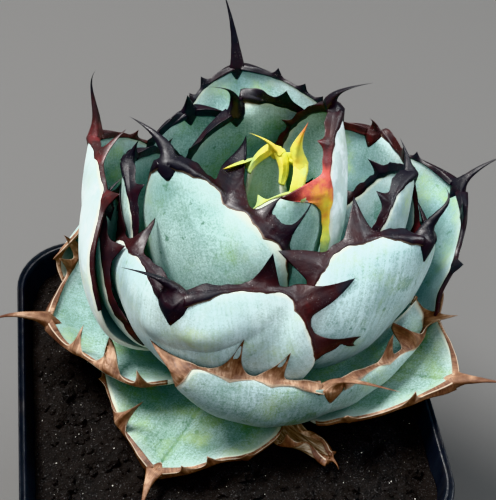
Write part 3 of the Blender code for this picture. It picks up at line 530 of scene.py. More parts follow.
    def surface(self, u, t, depth=0.0):
        """Point some depth under the inner face at (u, t), the face's normal, and the way out past its edge.

        The way out is on the face and square to the leaf's length.
        """
        u, t = np.broadcast_arrays(np.asarray(u, float), np.asarray(t, float))
        inside = np.clip(u, STEP - 1, 1 - STEP)
        middle = np.clip(t, STEP, 1 - STEP)
        along = self.shape(u, middle + STEP) - self.shape(u, middle - STEP)
        across = self.shape(inside + STEP, t) - self.shape(inside - STEP, t)
        normal = unit(np.cross(along, across))
        out = unit(np.cross(normal, along)) * np.where(u >= 0, 1.0, -1.0)[..., None]
        return self.shape(u, t) - normal * np.asarray(depth)[..., None], normal, out

    def pressed(self, point, u, t):
        """The point after the push of the leaves inside, read smoothly between samples, and of the seat."""
        row = np.clip(t, 0, 1) * (PRESS_ROWS - 1)
        column = (np.clip(u, -1, 1) + 1) / 2 * (PRESS_COLUMNS - 1)
        low_row = np.minimum(row.astype(int), PRESS_ROWS - 2)
        low_column = np.minimum(column.astype(int), PRESS_COLUMNS - 2)
        push = np.zeros(np.shape(row))
        for step, down in enumerate(soft_weights(row - low_row)):
            for other, over in enumerate(soft_weights(column - low_column)):
                rows = np.clip(low_row + step - 1, 0, PRESS_ROWS - 1)
                columns = np.clip(low_column + other - 1, 0, PRESS_COLUMNS - 1)
                push = push + down * over * self.press[rows, columns]
        fade = np.clip(1 - t / ROOT_SEATED, 0, 1) ** 2
        return point + unit(point - HEART) * push[..., None] + self.seat * fade[..., None]

    def press_on(self, trees):
        """Pushes the blade out until it clears the leaves inside it, and seats its root against the stem."""
        u, t = np.meshgrid(np.linspace(-1, 1, PRESS_COLUMNS), np.linspace(0, 1, PRESS_ROWS))
        faces = [self.surface(u, t)[0], self.surface(u, t, self.thickness(u, t))[0]]
        need = np.zeros_like(u)
        for index in np.ndindex(need.shape):
            need[index] = max(shortfall(face[index], trees, PRESS_GAP) for face in faces)
        self.press = smooth_above(need)
        now = self.shape(0.0, 0.0)
        wide = max(stem_radius(now[2]), stem_radius(now[2] - self.thick))
        pushed = (wide + GAP + SEAT_GAP) / math.hypot(now[0], now[1]) - 1
        self.seat = np.array([now[0], now[1], 0.0]) * pushed

    def margin(self, side):
        """Rows of t, the length along this margin at each, and the length at which its horn begins."""
        rows = BLADE_END * (1 - (1 - np.linspace(0, 1, MARGIN_ROWS)) ** ROW_CROWDING)
        steps = np.linalg.norm(np.diff(self.shape(float(side), rows), axis=0), axis=1)
        length = np.concatenate([[0], np.cumsum(steps)])
        begins = self.horn_from if side > 0 else self.horn_from_right
        return rows, length, float(np.interp(begins, rows, length))

    def set_bulges(self):
        """Where the margin swells under each tooth, as (middle, half its extent, height) for each side."""
        for side in (1, -1):
            rows, length, first = self.margin(side)
            for back, tall, _, _ in self.tooth_list(side, length[-1] - first):
                at = length[-1] - back
                wide = BULGE_SLOPE * tall + BULGE_FOOT
                span = float(np.interp(at + wide, length, rows) - np.interp(at - wide, length, rows))
                middle = float(np.interp(at, length, rows))
                height = self.swell * min(tall, TALL_TOOTH) / TALL_TOOTH
                self.bulges[side].append((middle, max(span / 2, LEAST_BULGE), height))

    def tooth_list(self, side, length):
        """Teeth on one edge as (distance from the tip, height, lean to the tip, curl inwards)."""
        if isinstance(self.teeth, dict):
            return self.teeth[side]
        count, tall = self.teeth
        chance = np.random.default_rng(int(10 * self.tip[0]) + 7 * int(self.width) + side)
        teeth = []
        for index in range(count):
            stray = chance.uniform(-TOOTH_STRAY, TOOTH_STRAY)
            back = length * (LAST_TOOTH + TOOTH_RUN * (index + 0.5 + stray) / count)
            height = tall * chance.uniform(*TOOTH_HEIGHTS)
            lean = chance.uniform(-TOOTH_LEAN, TOOTH_LEAN)
            teeth.append((back, height, lean, chance.uniform(0.0, TOOTH_LEAN)))
        return teeth


def write_attribute(mesh, name, kind, values):
    made = mesh.attributes.new(name, kind, "POINT")
    field = "vector" if kind == "FLOAT_VECTOR" else "value"
    made.data.foreach_set(field, np.ravel(values).astype(np.float32))


def points_of(mesh):
    flat = np.empty(len(mesh.vertices) * 3)
    mesh.vertices.foreach_get("co", flat)
    return flat.reshape(-1, 3)


def faces_of(mesh):
    return [tuple(polygon.vertices) for polygon in mesh.polygons]


def leaf_blade(leaf, skin, slot):
    """The blade: a grid laid on the leaf's inner face and thickened. Returns it as a search tree."""
    across, along = leaf.cells
    deselect()
    bpy.ops.mesh.primitive_grid_add(x_subdivisions=across, y_subdivisions=along, size=2, calc_uvs=True)
    piece = bpy.context.object
    mesh = piece.data
    flat = points_of(mesh)
    edgeward = np.sin(0.5 * math.pi * flat[:, 0])
    u = -(COLUMN_EVENNESS * flat[:, 0] + (1 - COLUMN_EVENNESS) * edgeward)
    t = BLADE_END * (1 - (1 - (flat[:, 1] + 1) / 2) ** ROW_CROWDING)
    points = leaf.surface(u, t)[0]
    mesh.vertices.foreach_set("co", np.ravel((points + AT) * MM))
    width = leaf.reach(u, t)
    length = float(leaf.margin(1)[1][-1])
    on_leaf = np.column_stack([u * width, t * length, (1 - abs(u)) * width])
    write_attribute(mesh, "leaf_place", "FLOAT_VECTOR", on_leaf)
    group = piece.vertex_groups.new(name="thickness")
    for index, share in enumerate(leaf.thickness(u, t) / leaf.thick):
        group.add([index], float(share), "REPLACE")
    shell = piece.modifiers.new("thickness", "SOLIDIFY")
    shell.thickness = leaf.thick * MM
    shell.offset = -1
    shell.vertex_group = "thickness"
    apply_all(piece)
    bpy.ops.object.shade_smooth()
    mesh = piece.data
    outer = np.arange(len(mesh.vertices)) >= len(flat)
    # How white the outer face is: partly bloom, partly painted highlight
    habit = np.column_stack([outer, outer * leaf.pale, np.full(len(outer), leaf.green)])
    write_attribute(mesh, "habit", "FLOAT_VECTOR", habit)
    settle(piece, leaf.name + "_blade", skin, slot, "leaf_" + leaf.name)
    return BVHTree.FromPolygons((points_of(mesh) / MM - AT).tolist(), faces_of(mesh))


# Horn form
# Horn grows along each margin as a hard band that clasps the edge and rises into curved teeth. Both bands
# run up to the blunt tip, where they broaden into the spine, which runs down the blade as a tongue.
STATION = 0.4
HORN_CLEAR = 0.4
HORN_TAPER = 6.0
TIP_SPREAD = 7.0
TOOTH_SLOPE = 0.36
FOLD_FROM = 1.2
TOOTH_FOOT = 1.4
TOOTH_FADE = 1.3
OUTWARD = (0.0, 0.14, 0.3, 0.48, 0.66, 0.82, 0.93)
SPINE_SIDES = 18
SPINE_RINGS = 24
TONGUE = (1.0, 0.8, 0.6, 0.4, 0.2, 0.05)
TONGUE_LENGTH = 2.0
TONGUE_END = 1.02
TONGUE_BREADTH = 1.3
TONGUE_LIFT = 0.4
LEAST_LIFT = 0.12
LIFT_FADE = 1.2
OVER_BY_STOUT = 0.3
OVER_BY_WIDTH = 0.4
LEAST_OVER = 0.2
TIP_PART = 0.6
TIP_PART_ROWS = 200
TIP_RUN = 4.0
LOBE = 1.5
LOBE_END = 1.05
MOST_BACK = 2.5
BAND_ROUNDS = 3
CLEAR_ROUNDS = 4
STEPS_IN = 7
FIRST_IN = 0.85
FIRST_BACK = 0.01
LEAST_T = 0.02
MOST_ACROSS = 0.25
MOST_ALONG = 0.03
LEAST_TAPER = 0.12
BAND_RAGGED = 0.5
HOLD_RAGGED = 0.6
TIP_HEIGHT = 0.25
LOW_AT_TIP = 0.4
TOOTH_HOLD = 0.11
TIP_HOLD = 0.7
LEAST_HOLD = 0.1
RAISED_AT_TIP = 2.8
BAND_HALF = 0.5
HALF_BY_HEIGHT = 0.05
HALF_AT_TIP = 0.3
BAND_SHARPNESS = 0.8
FINEST_SHARE = 0.995
RING_CROWDING = 1.15
GROOVE_DEPTH = 0.32
GROOVE_WIDTH = 0.5
SPINE_ROUGH = 0.035
SPINE_CONE = 0.8
SPINE_CORE = 0.24
CORE_DRAW = 0.7
SPINE_FLATNESS = 0.8
SPINE_FOOT = 0.3
FOOT_FADE = 1.5
SPINE_POINT = 0.2
TIP_STEP = 0.05
PATTERN_RADIUS = 3
# How late a tooth's fold, lean, curl and press set in on the way out, and the spine's hook, as powers
FOLD_LATE = 3
LEAN_LATE = 1.7
CURL_LATE = 2
PRESS_LATE = 1.5
HOOK_LATE = 6
# The band's unevenness, as (wave length, height), and its rows on the leaf's face, as (share of its hold,
# height over the face)
RAGGED = ((11.0, 0.35), (4.6, 0.25), (2.1, 0.08))
HOLD_ROWS = ((1.0, -0.04), (0.85, 0.12), (0.5, 0.22), (0.2, 0.26))
ANY_PHASE = 6.3


def evened(values, rounds):
    """Rows of values, each moved towards the mean of its neighbours, some rounds over."""
    for _ in range(rounds):
        wide = np.pad(values, [(1, 1)] + [(0, 0)] * (values.ndim - 1), mode="edge")
        values = (wide[:-2] + 2 * wide[1:-1] + wide[2:]) / 4
    return values


def kept_between(points, inner, outer):
    """How far each point moves out from the leaves inside it, and back from those outside it."""
    push = np.array([shortfall(point, inner, HORN_CLEAR) for point in points])
    moved = points + unit(points - HEART) * push[:, None]
    back = np.zeros(len(points))
    for index, point in enumerate(moved):
        direction = Vector(unit(point - HEART))
        distance = np.linalg.norm(point - HEART)
        for tree in outer:
            hit = tree.ray_cast(Vector(HEART), direction, PRESS_REACH)
            if hit[0] is not None:
                back[index] = max(back[index], min(distance - hit[3] + HORN_CLEAR, MOST_BACK))
    return np.maximum(push, evened(push, CLEAR_ROUNDS)) - np.maximum(back, evened(back, CLEAR_ROUNDS))


def moved_in(leaf, u, t, way):
    """Where on the blade (u, t) comes to when it moves by way, in millimetres, found in a few steps."""
    goal = leaf.shape(u, t) + way
    u = FIRST_IN * u
    t = t - FIRST_BACK
    for _ in range(STEPS_IN):
        across = (leaf.shape(u + STEP, t) - leaf.shape(u - STEP, t)) / (2 * STEP)
        along = (leaf.shape(u, t + STEP) - leaf.shape(u, t - STEP)) / (2 * STEP)
        miss = goal - leaf.shape(u, t)
        uu = (across * across).sum(axis=1)
        tt = (along * along).sum(axis=1)
        ut = (across * along).sum(axis=1)
        wu = (miss * across).sum(axis=1)
        wt = (miss * along).sum(axis=1)
        size = np.maximum(uu * tt - ut * ut, 1.0)
        u = np.clip(u + np.clip((wu * tt - wt * ut) / size, -MOST_ACROSS, MOST_ACROSS), -1, 1)
        t = np.clip(t + np.clip((wt * uu - wu * ut) / size, -MOST_ALONG, MOST_ALONG), LEAST_T, BLADE_END)
    return u, t


def tube_faces(rings, sides):
    """The faces between rings of points that follow each other, each of so many sides."""
    faces = []
    for ring in range(rings - 1):
        for step in range(sides):
            a = ring * sides + step
            b = ring * sides + (step + 1) % sides
            faces.append((a, b, b + sides, a + sides))
    return faces


def with_teeth(leaf, side, along_mm, total, height):
    """The band's height with its teeth, its lean, curl and fold all along, and the height that is tooth."""
    shift, turn, fold, tooth = np.zeros((4, len(along_mm)))
    for back, tall, lean, curl in leaf.tooth_list(side, total):
        half = TOOTH_FOOT + TOOTH_SLOPE * tall * math.hypot(1, curl)
        at = along_mm[np.argmin(abs(along_mm - (along_mm[-1] - back)))]
        share = np.clip(1 - abs(along_mm - at) / half, 0, 1)
        swell = share**leaf.point
        height = height + tall * swell
        shift = shift + lean * tall * swell
        turn = turn + curl * tall * swell
        fold = fold + max(0.0, abs(curl) - FOLD_FROM) * tall * swell
        tooth = np.maximum(tooth, tall * share**TOOTH_FADE)
    return height, shift, turn, fold, tooth


def horn_strip(leaf, side, inner, outer, chance):
    """Points, faces, place values and ripeness of the toothed band on one margin."""
    rows, length, first = leaf.margin(side)
    total = length[-1] - first
    count = int(total / STATION)
    along_mm = np.linspace(first, length[-1], count)
    t = np.interp(along_mm, length, rows)
    edge = np.full(count, float(side))
    top, normal, _ = leaf.surface(edge, t)
    low = leaf.surface(edge, t, EDGE_THICKNESS * EDGE_SHARE)[0]
    middle = 0.5 * (top + low)
    along = unit(evened(np.gradient(middle, axis=0), BAND_ROUNDS))
    normal = unit(evened(normal, BAND_ROUNDS))
    cross = side * unit(evened(np.cross(normal, along), CLEAR_ROUNDS))
    taper = np.clip((along_mm - first) / HORN_TAPER, LEAST_TAPER, 1.0)
    to_tip = length[-1] - along_mm
    flare = np.exp(-((to_tip / TIP_SPREAD) ** 2))
    ragged = np.zeros(count)
    for wave, tall in RAGGED:
        ragged += tall * np.sin(2 * math.pi * along_mm / wave + chance.uniform(0, ANY_PHASE))
    plain = leaf.horn_width * (1 + BAND_RAGGED * ragged) * taper + TIP_HEIGHT * leaf.stout * flare
    plain = plain * (LOW_AT_TIP + (1 - LOW_AT_TIP) * np.clip(to_tip / TIP_RUN, 0, 1))
    height, shift, turn, fold, tooth = with_teeth(leaf, side, along_mm, total, plain)
    ends = middle + cross * (height - fold)[:, None] + along * shift[:, None] + normal * turn[:, None]
    away = unit(ends - HEART) * kept_between(ends, inner, outer)[:, None]
    hold = leaf.clasp * (1 + HOLD_RAGGED * ragged) * taper
    hold = np.maximum(hold + TOOTH_HOLD * tooth + TIP_HOLD * leaf.stout * flare, LEAST_HOLD)
    inset = [moved_in(leaf, edge, t, -cross * (share * hold)[:, None]) for share, _ in HOLD_ROWS]
    band = []
    for face in (1, -1):
        face_rows = []
        for (share, lift), (inset_u, inset_t) in zip(HOLD_ROWS, inset):
            depth = leaf.thickness(inset_u, inset_t) if face < 0 else 0.0
            on_face, face_normal, _ = leaf.surface(inset_u, inset_t, depth)
            raised = lift * (1 + RAISED_AT_TIP * flare)[:, None]
            face_rows.append((on_face + face * face_normal * raised, -share * hold, share))
        for share in OUTWARD:
            half = BAND_HALF + HALF_BY_HEIGHT * height + HALF_AT_TIP * flare
            half = half * (1 - share) ** BAND_SHARPNESS
            row = middle + cross * (share * height - share**FOLD_LATE * fold)[:, None]
            row = row + along * (shift * share**LEAN_LATE)[:, None]
            row = row + normal * (turn * share**CURL_LATE + face * half)[:, None]
            row = row + away * share**PRESS_LATE
            face_rows.append((row, share * height, -share))
        if face > 0:
            band = face_rows + [(ends + away, height, -1.0)]
        else:
            band = band + face_rows[::-1]
    ring = len(band)
    points = np.stack([row for row, _, _ in band], axis=1).reshape(-1, 3)
    values = []
    for _, out, rim in band:
        values.append(np.column_stack([out * np.ones(count), along_mm - first, np.full(count, rim)]))
    values = np.stack(values, axis=1).reshape(-1, 3)
    faces = tube_faces(count, ring)
    faces.append(tuple(range(ring))[::-1])
    faces.append(tuple(range((count - 1) * ring, count * ring)))
    if side < 0:
        faces = [face[::-1] for face in faces]
    ages = leaf.ripe_left if side > 0 and leaf.ripe_left else leaf.ripe
    ripe = np.interp(np.repeat(along_mm - first, ring), [0, along_mm[-1] - first], ages)
    return points, faces, values, ripe


def tongue_ring(leaf, share):
    """A closed ring about the blade, a share of the tongue's length down from its tip."""
    turn = 2 * math.pi * np.arange(SPINE_SIDES) / SPINE_SIDES
    rows = np.linspace(TIP_PART, BLADE_END, TIP_PART_ROWS)
    line = leaf.shape(0.0, rows)
    to_tip = np.linalg.norm(line - line[-1], axis=1)
    t = np.full(SPINE_SIDES, float(np.interp(-share * TONGUE_LENGTH * leaf.stout, -to_tip, rows)))
    margin = np.where(np.cos(turn) > 0, 1.0, -1.0)
    reach = leaf.reach(margin, t)
    tip_reach = leaf.reach(margin, np.full(SPINE_SIDES, BLADE_END))
    over = OVER_BY_STOUT * leaf.stout + OVER_BY_WIDTH * leaf.horn_width + LEAST_OVER
    lobe = np.maximum(tip_reach + over, LOBE * leaf.stout) * (LOBE_END - share) ** 0.5
    narrowing = min(TONGUE_BREADTH * (TONGUE_END - share) ** 0.5, 1.0)
    broad = np.minimum(narrowing * (reach + over), lobe)
    across = broad * np.abs(np.cos(turn))
    u = np.minimum(across / reach, 1.0) * np.sign(np.cos(turn))
    past = across - np.abs(u) * reach
    top, normal, out = leaf.surface(u, t)
    thick = leaf.thickness(u, t)
    lift = TONGUE_LIFT * leaf.stout * (1 - share) ** LIFT_FADE + LEAST_LIFT
    middle = top - normal * (thick / 2)[:, None] + out * past[:, None]
    return middle + normal * (np.sin(turn) * (thick / 2 + lift))[:, None]


def horn_spine(leaf, chance):
    """The terminal spine: a tongue down the blade's tip, drawn out into a grooved, curved needle."""
    rings = [tongue_ring(leaf, share) for share in TONGUE]
    along = unit(leaf.shape(0.0, BLADE_END) - leaf.shape(0.0, BLADE_END - TIP_STEP))
    across = leaf.on_line(1.0)[1]
    across = unit(across - along * (across @ along))
    up = np.cross(along, across)
    start = rings[-1].mean(axis=0)
    foot = rings[-1] - start
    length, lift, aside = leaf.spine
    hook_up, hook_aside = leaf.hook
    turn = 2 * math.pi * np.arange(SPINE_SIDES) / SPINE_SIDES
    distance = [0.0] * len(rings)
    for step in range(1, SPINE_RINGS + 1):
        share = FINEST_SHARE * (step / SPINE_RINGS) ** RING_CROWDING
        path = along * share + (up * lift + across * aside) * share**2
        path = path + (up * hook_up + across * hook_aside) * share**HOOK_LATE
        cone = SPINE_CONE * (1 - share) ** leaf.draw
        radius = leaf.stout * (cone + SPINE_CORE * (1 - share) ** CORE_DRAW)
        groove = 1 - GROOVE_DEPTH * np.exp(-(((turn - 0.5 * math.pi) / GROOVE_WIDTH) ** 2)) * (1 - share)
        radii = radius * groove * (1 + SPINE_ROUGH * chance.normal(size=SPINE_SIDES))
        round_ring = across * (radii * np.cos(turn))[:, None]
        round_ring = round_ring + up * (SPINE_FLATNESS * radii * np.sin(turn))[:, None]
        flat = max(0.0, 1 - share / SPINE_FOOT) ** FOOT_FADE
        rings.append(start + path * length + (1 - flat) * round_ring + flat * (1 - share) * foot)
        distance.append(share * length)
    points = np.vstack(rings + [rings[-1].mean(axis=0)[None, :] + along * SPINE_POINT])
    faces = [tuple(range(SPINE_SIDES))[::-1]] + tube_faces(len(rings), SPINE_SIDES)
    last = (len(rings) - 1) * SPINE_SIDES
    for step in range(SPINE_SIDES):
        faces.append((last + step, last + (step + 1) % SPINE_SIDES, len(points) - 1))
    values = np.zeros((len(points), 3))
    values[:-1, 0] = np.repeat(distance, SPINE_SIDES)
    values[-1, 0] = length
    values[:-1, 1] = np.tile(turn * PATTERN_RADIUS, len(rings))
    values[:SPINE_SIDES, 2] = 1.0
    ripe = np.full(len(points), leaf.ripe[1])
    return points, faces, values, ripe


def new_object(name, data):
    made = bpy.data.objects.new(name, data)
    bpy.context.scene.collection.objects.link(made)
    return made


def leaf_horn(leaf, skin, slot, inner, outer):
    """The whole horn in one mesh, both bands and the spine, clear of the leaves inside and outside it."""
    chance = np.random.default_rng(int(leaf.tip[0] * 3 + leaf.width))
    parts = [horn_strip(leaf, side, inner, outer, chance) for side in (1, -1)]
    parts.append(horn_spine(leaf, chance))
    points, faces, values, ripe = [], [], [], []
    for part_points, part_faces, part_values, part_ripe in parts:
        base = len(points)
        points += (part_points + AT).tolist()
        faces += [tuple(base + corner for corner in face) for face in part_faces]
        values.append(part_values)
        ripe.append(part_ripe)
    mesh = bpy.data.meshes.new(leaf.name + "_horn")
    mesh.from_pydata((np.array(points) * MM).tolist(), [], faces)
    write_attribute(mesh, "horn_place", "FLOAT_VECTOR", np.vstack(values))
    write_attribute(mesh, "ripe", "FLOAT", np.concatenate(ripe))
    work = bmesh.new()
    work.from_mesh(mesh)
    bmesh.ops.recalc_face_normals(work, faces=work.faces)
    work.to_mesh(mesh)
    work.free()
    mesh.shade_smooth()
    piece = new_object(leaf.name + "_horn", mesh)
    settle(piece, leaf.name + "_horn", skin, slot, "horn_" + leaf.name)


# Leaf skin
# Waxy flesh under a fine pale bloom. The bloom is rubbed off in yellow-green patches and dark nicks, drawn
# out in pale streaks on the outer face, thickens to white beside the horn, and keeps the print of the
# neighbours' teeth.


def attribute(tree, name):
    return put(tree, "Attribute", attribute_name=name).outputs["Vector"]


def split(tree, vector):
    return put(tree, "SeparateXYZ", {"Vector": vector}).outputs


def leaf_skin(name, flesh, rubbed, bloom, pale, cover, rub, streak, white):
    """Flesh with rubbed patches, under as much bloom as cover says, less rub in the patches, with streaks."""
    made, tree, shader = new_material(name, Specular_IOR_Level=0.4, Sheen_Weight=0.1, Sheen_Roughness=0.5)
    spot = attribute(tree, "leaf_place")
    where = object_place(tree)
    width_at, length_at, margin = split(tree, spot)
    outer, white_bloom_and_highlight, greener = split(tree, attribute(tree, "habit"))
    clouds = speckle(tree, where, 45, 0.34, 0.66, 5.0)
    broad = speckle(tree, where, 24, 0.42, 0.6)
    patches = speckle(tree, where, 75, 0.5, 0.66, 6.0)
    scuffs = speckle(tree, where, 210, 0.5, 0.62, 6.0)
    bruises = speckle(tree, where, 55, 0.63, 0.66, 7.0)
    grain = speckle(tree, where, 2100, 0.34, 0.66, 2.0)
    fine = speckle(tree, where, 5600, 0.3, 0.7, 1.0)
    nicks = speckle(tree, where, 330, 0.67, 0.7)
    streaks = speckle(tree, stretched(tree, spot, 1.0, 0.06, 0.0), 1.1, 0.42, 0.7, 5.0)
    lines = speckle(tree, stretched(tree, spot, 3.2, 0.05, 0.0), 1.0, 0.35, 0.65)

    # How thick the bloom lies
    green = times(tree, broad, greener)
    amount = less(tree, less(tree, cover, patches, rub), green, 0.4)
    for mask, least, most in ((grain, -0.26, 0.22), (fine, -0.28, 0.24), (lines, -0.09, 0.08)):
        amount = plus(tree, amount, spread(tree, mask, 0, 1, least, most))
    amount = more(tree, amount, times(tree, streaks, outer), streak)
    for mask, share in ((scuffs, 0.18), (nicks, 0.6), (bruises, 0.45)):
        amount = less(tree, amount, mask, share)

    # The print of a neighbour's toothed edge, wavy along the outer face, and painted shade down the inner
    # crease
    teeth = maths(tree, "ABSOLUTE", maths(tree, "SINE", times(tree, length_at, 0.3)))
    from_print = minus(tree, margin, maths(tree, "MULTIPLY_ADD", teeth, 3.4, 6.5))
    printed = spread(tree, maths(tree, "ABSOLUTE", from_print), 0.15, 0.9, 0.3, 0.0)
    amount = more(tree, amount, printed, times(tree, outer, clouds))
    # Painted shade: less bloom, so darker, in a thin line down the midrib of the inner face, on the greener
    # leaves
    crease_shade = spread(tree, maths(tree, "ABSOLUTE", width_at), 0.1, 0.6, 0.5, 0.0)
    crease_shade = times(tree, crease_shade, minus(tree, greener, outer))
    amount = minus(tree, amount, maths(tree, "MAXIMUM", crease_shade, 0.0))

    # The colours, with white bloom near the margin and a cream line at it
    under = blend(tree, patches, flesh, rubbed)
    over = blend(tree, clouds, bloom, pale)
    skin = blend(tree, spread(tree, amount, 0, 1), under, over)
    skin = blend(tree, times(tree, green, 0.45), skin, rubbed, "MULTIPLY")
    # Whiter outer faces: partly white bloom, partly painted highlight where they face the light
    near = maths(tree, "MAXIMUM", spread(tree, margin, 1.0, 7.0, white, 0.0), white_bloom_and_highlight)
    rim = times(tree, near, spread(tree, plus(tree, clouds, scuffs), 0, 1.4, 0.35, 1.0))
    skin = blend(tree, rim, skin, colour(0.86, 0.94, 0.95))
    skin = blend(tree, spread(tree, margin, 0.8, 1.7, 0.6, 0.0), skin, colour(0.74, 0.72, 0.58))
    paint(tree, shader, skin, spread(tree, amount, 0.2, 1.0, 0.34, 0.58))
    height = more(tree, times(tree, streaks, 0.6), grain, 0.6)
    bump(tree, shader, maths(tree, "MULTIPLY_ADD", lines, 0.5, height), 0.00007, 0.45)
    return made


inner_skin = leaf_skin("inner_leaf_skin", colour(0.10, 0.21, 0.15), colour(0.22, 0.36, 0.19),
                       colour(0.23, 0.375, 0.36), colour(0.50, 0.675, 0.65),
                       cover=0.72, rub=0.4, streak=0.15, white=0.3)
outer_skin = leaf_skin("outer_leaf_skin", colour(0.12, 0.24, 0.20), colour(0.34, 0.48, 0.27),
                       colour(0.23, 0.36, 0.385), colour(0.53, 0.69, 0.705),
                       cover=0.68, rub=0.45, streak=0.5, white=0.5)
old_skin = leaf_skin("old_leaf_skin", colour(0.09, 0.19, 0.12), colour(0.27, 0.38, 0.18),
                     colour(0.25, 0.37, 0.37), colour(0.48, 0.62, 0.64),
                     cover=0.68, rub=0.35, streak=0.25, white=0.3)
young_skin = leaf_skin("young_leaf_skin", colour(0.18, 0.32, 0.17), colour(0.36, 0.50, 0.26),
                       colour(0.36, 0.54, 0.44), colour(0.60, 0.77, 0.66),
                       cover=0.72, rub=0.3, streak=0.0, white=0.1)

# Horn skin
# Living horn ripens from yellow through red to maroon and black, darkest at its points, with a satin shine,
# fine pits with white grains in them, and a pale line where it clasps the leaf. Dead horn is dull copper
# brown, with cream where it clasps the leaf and along its worn edge.
RIPENING = [
    (0.0, colour(0.36, 0.50, 0.22)), (0.10, colour(0.66, 0.70, 0.14)), (0.20, colour(0.84, 0.76, 0.12)),
    (0.31, colour(0.88, 0.48, 0.08)), (0.42, colour(0.64, 0.13, 0.10)), (0.56, colour(0.15, 0.03, 0.032)),
    (0.72, colour(0.036, 0.013, 0.013)), (0.90, colour(0.018, 0.010, 0.013)),
    (1.0, colour(0.009, 0.008, 0.012)),
]
DEAD_TONES = [
    (0.0, colour(0.062, 0.028, 0.02)), (0.35, colour(0.135, 0.068, 0.043)),
    (0.65, colour(0.24, 0.135, 0.083)), (1.0, colour(0.48, 0.33, 0.23)),
]


def horn_skin(name, dry=False):
    made, tree, shader = new_material(name, Specular_IOR_Level=0.3 if dry else 0.5)
    spot = attribute(tree, "horn_place")
    where = object_place(tree)
    out, _, rim = split(tree, spot)
    clouds = speckle(tree, where, 170, 0.35, 0.66, 5.0)
    fibre = speckle(tree, stretched(tree, spot, 0.16, 1.0, 0.3), 2.0, 0.36, 0.66, 4.0)
    pits = times(tree, speckle(tree, where, 3600, 0.64, 0.68, 2.0), speckle(tree, where, 260, 0.52, 0.6, 2.0))
    if dry:
        tone = spread(tree, maths(tree, "MULTIPLY_ADD", fibre, 0.4, clouds), 0.1, 1.3)
        body = ramp(tree, tone, DEAD_TONES)
        edge = times(tree, spread(tree, rim, -0.8, -1.0), spread(tree, out, 0.3, 2.0, 1.0, 0.15))
        cream = maths(tree, "MAXIMUM", edge, spread(tree, rim, 0.35, 0.9))
        body = blend(tree, times(tree, cream, 0.8), body, colour(0.66, 0.56, 0.43))
        body = blend(tree, spread(tree, out, 4.0, 11.0, 0.0, 0.6), body, colour(0.085, 0.03, 0.018))
        paint(tree, shader, body, spread(tree, fibre, 0, 1, 0.42, 0.7))
    else:
        ripe = put(tree, "Attribute", attribute_name="ripe").outputs["Fac"]
        tipward = maths(tree, "POWER", spread(tree, out, 0.0, 14.0), 3.0)
        age = plus(tree, more(tree, ripe, tipward, 0.5), spread(tree, clouds, 0, 1, -0.1, 0.08))
        body = ramp(tree, age, RIPENING)
        body = blend(tree, spread(tree, rim, 0.78, 0.98, 0.0, 0.55), body, colour(0.50, 0.38, 0.28))
        body = blend(tree, times(tree, pits, 0.4), body, colour(0.5, 0.48, 0.48))
        paint(tree, shader, body, spread(tree, clouds, 0, 1, 0.36, 0.58))
    height = less(tree, more(tree, clouds, fibre, 0.4 if dry else 0.12), pits, 0.8)
    bump(tree, shader, height, 0.00018, 0.7)
    return made


live_horn = horn_skin("live_horn")
dead_horn = horn_skin("dead_horn", dry=True)

# Bud
# The rolled cone of unopened leaves at the heart, smooth, pale and yellow-green, wound round itself. It
# grows from the top of the stem, inside the two new leaves.
BUD_FOOT = 20.4
BUD_LENGTH = 27.0
BUD_RADIUS = 3.4
BUD_SIDES = 40
BUD_RINGS = 44
BUD_WINDINGS = 1.4
BUD_LAP = 0.09
BUD_CUT = 0.16
BUD_MARGIN = 9.0
BUD_FULLNESS = 0.9
BUD_BLUNTNESS = 3

deselect()
bpy.ops.mesh.primitive_uv_sphere_add(segments=BUD_SIDES, ring_count=BUD_RINGS, radius=1.0)
bud = bpy.context.object
flat = points_of(bud.data)
share = (flat[:, 2] + 1) / 2
angle = np.arctan2(flat[:, 1], flat[:, 0])
swell = np.sin(math.pi * (BUD_CUT + (1 - BUD_CUT) * share)) ** BUD_FULLNESS
swell = swell * np.minimum(1, np.hypot(flat[:, 0], flat[:, 1]) * BUD_BLUNTNESS)
rolled = BUD_RADIUS * swell * (1 + BUD_LAP * ((angle / (2 * math.pi) + BUD_WINDINGS * share) % 1.0))
spindle = np.column_stack([rolled * np.cos(angle), rolled * np.sin(angle), BUD_FOOT + BUD_LENGTH * share])
bud.data.vertices.foreach_set("co", np.ravel((spindle + AT) * MM))
apply_all(bud)
bpy.ops.object.shade_smooth()
on_bud = np.column_stack([angle * PATTERN_RADIUS, share * BUD_LENGTH, np.full(len(share), BUD_MARGIN)])
write_attribute(bud.data, "leaf_place", "FLOAT_VECTOR", on_bud)
write_attribute(bud.data, "habit", "FLOAT_VECTOR", np.zeros((len(share), 3)))
settle(bud, "bud_spindle", young_skin, "young_horn", "bud")

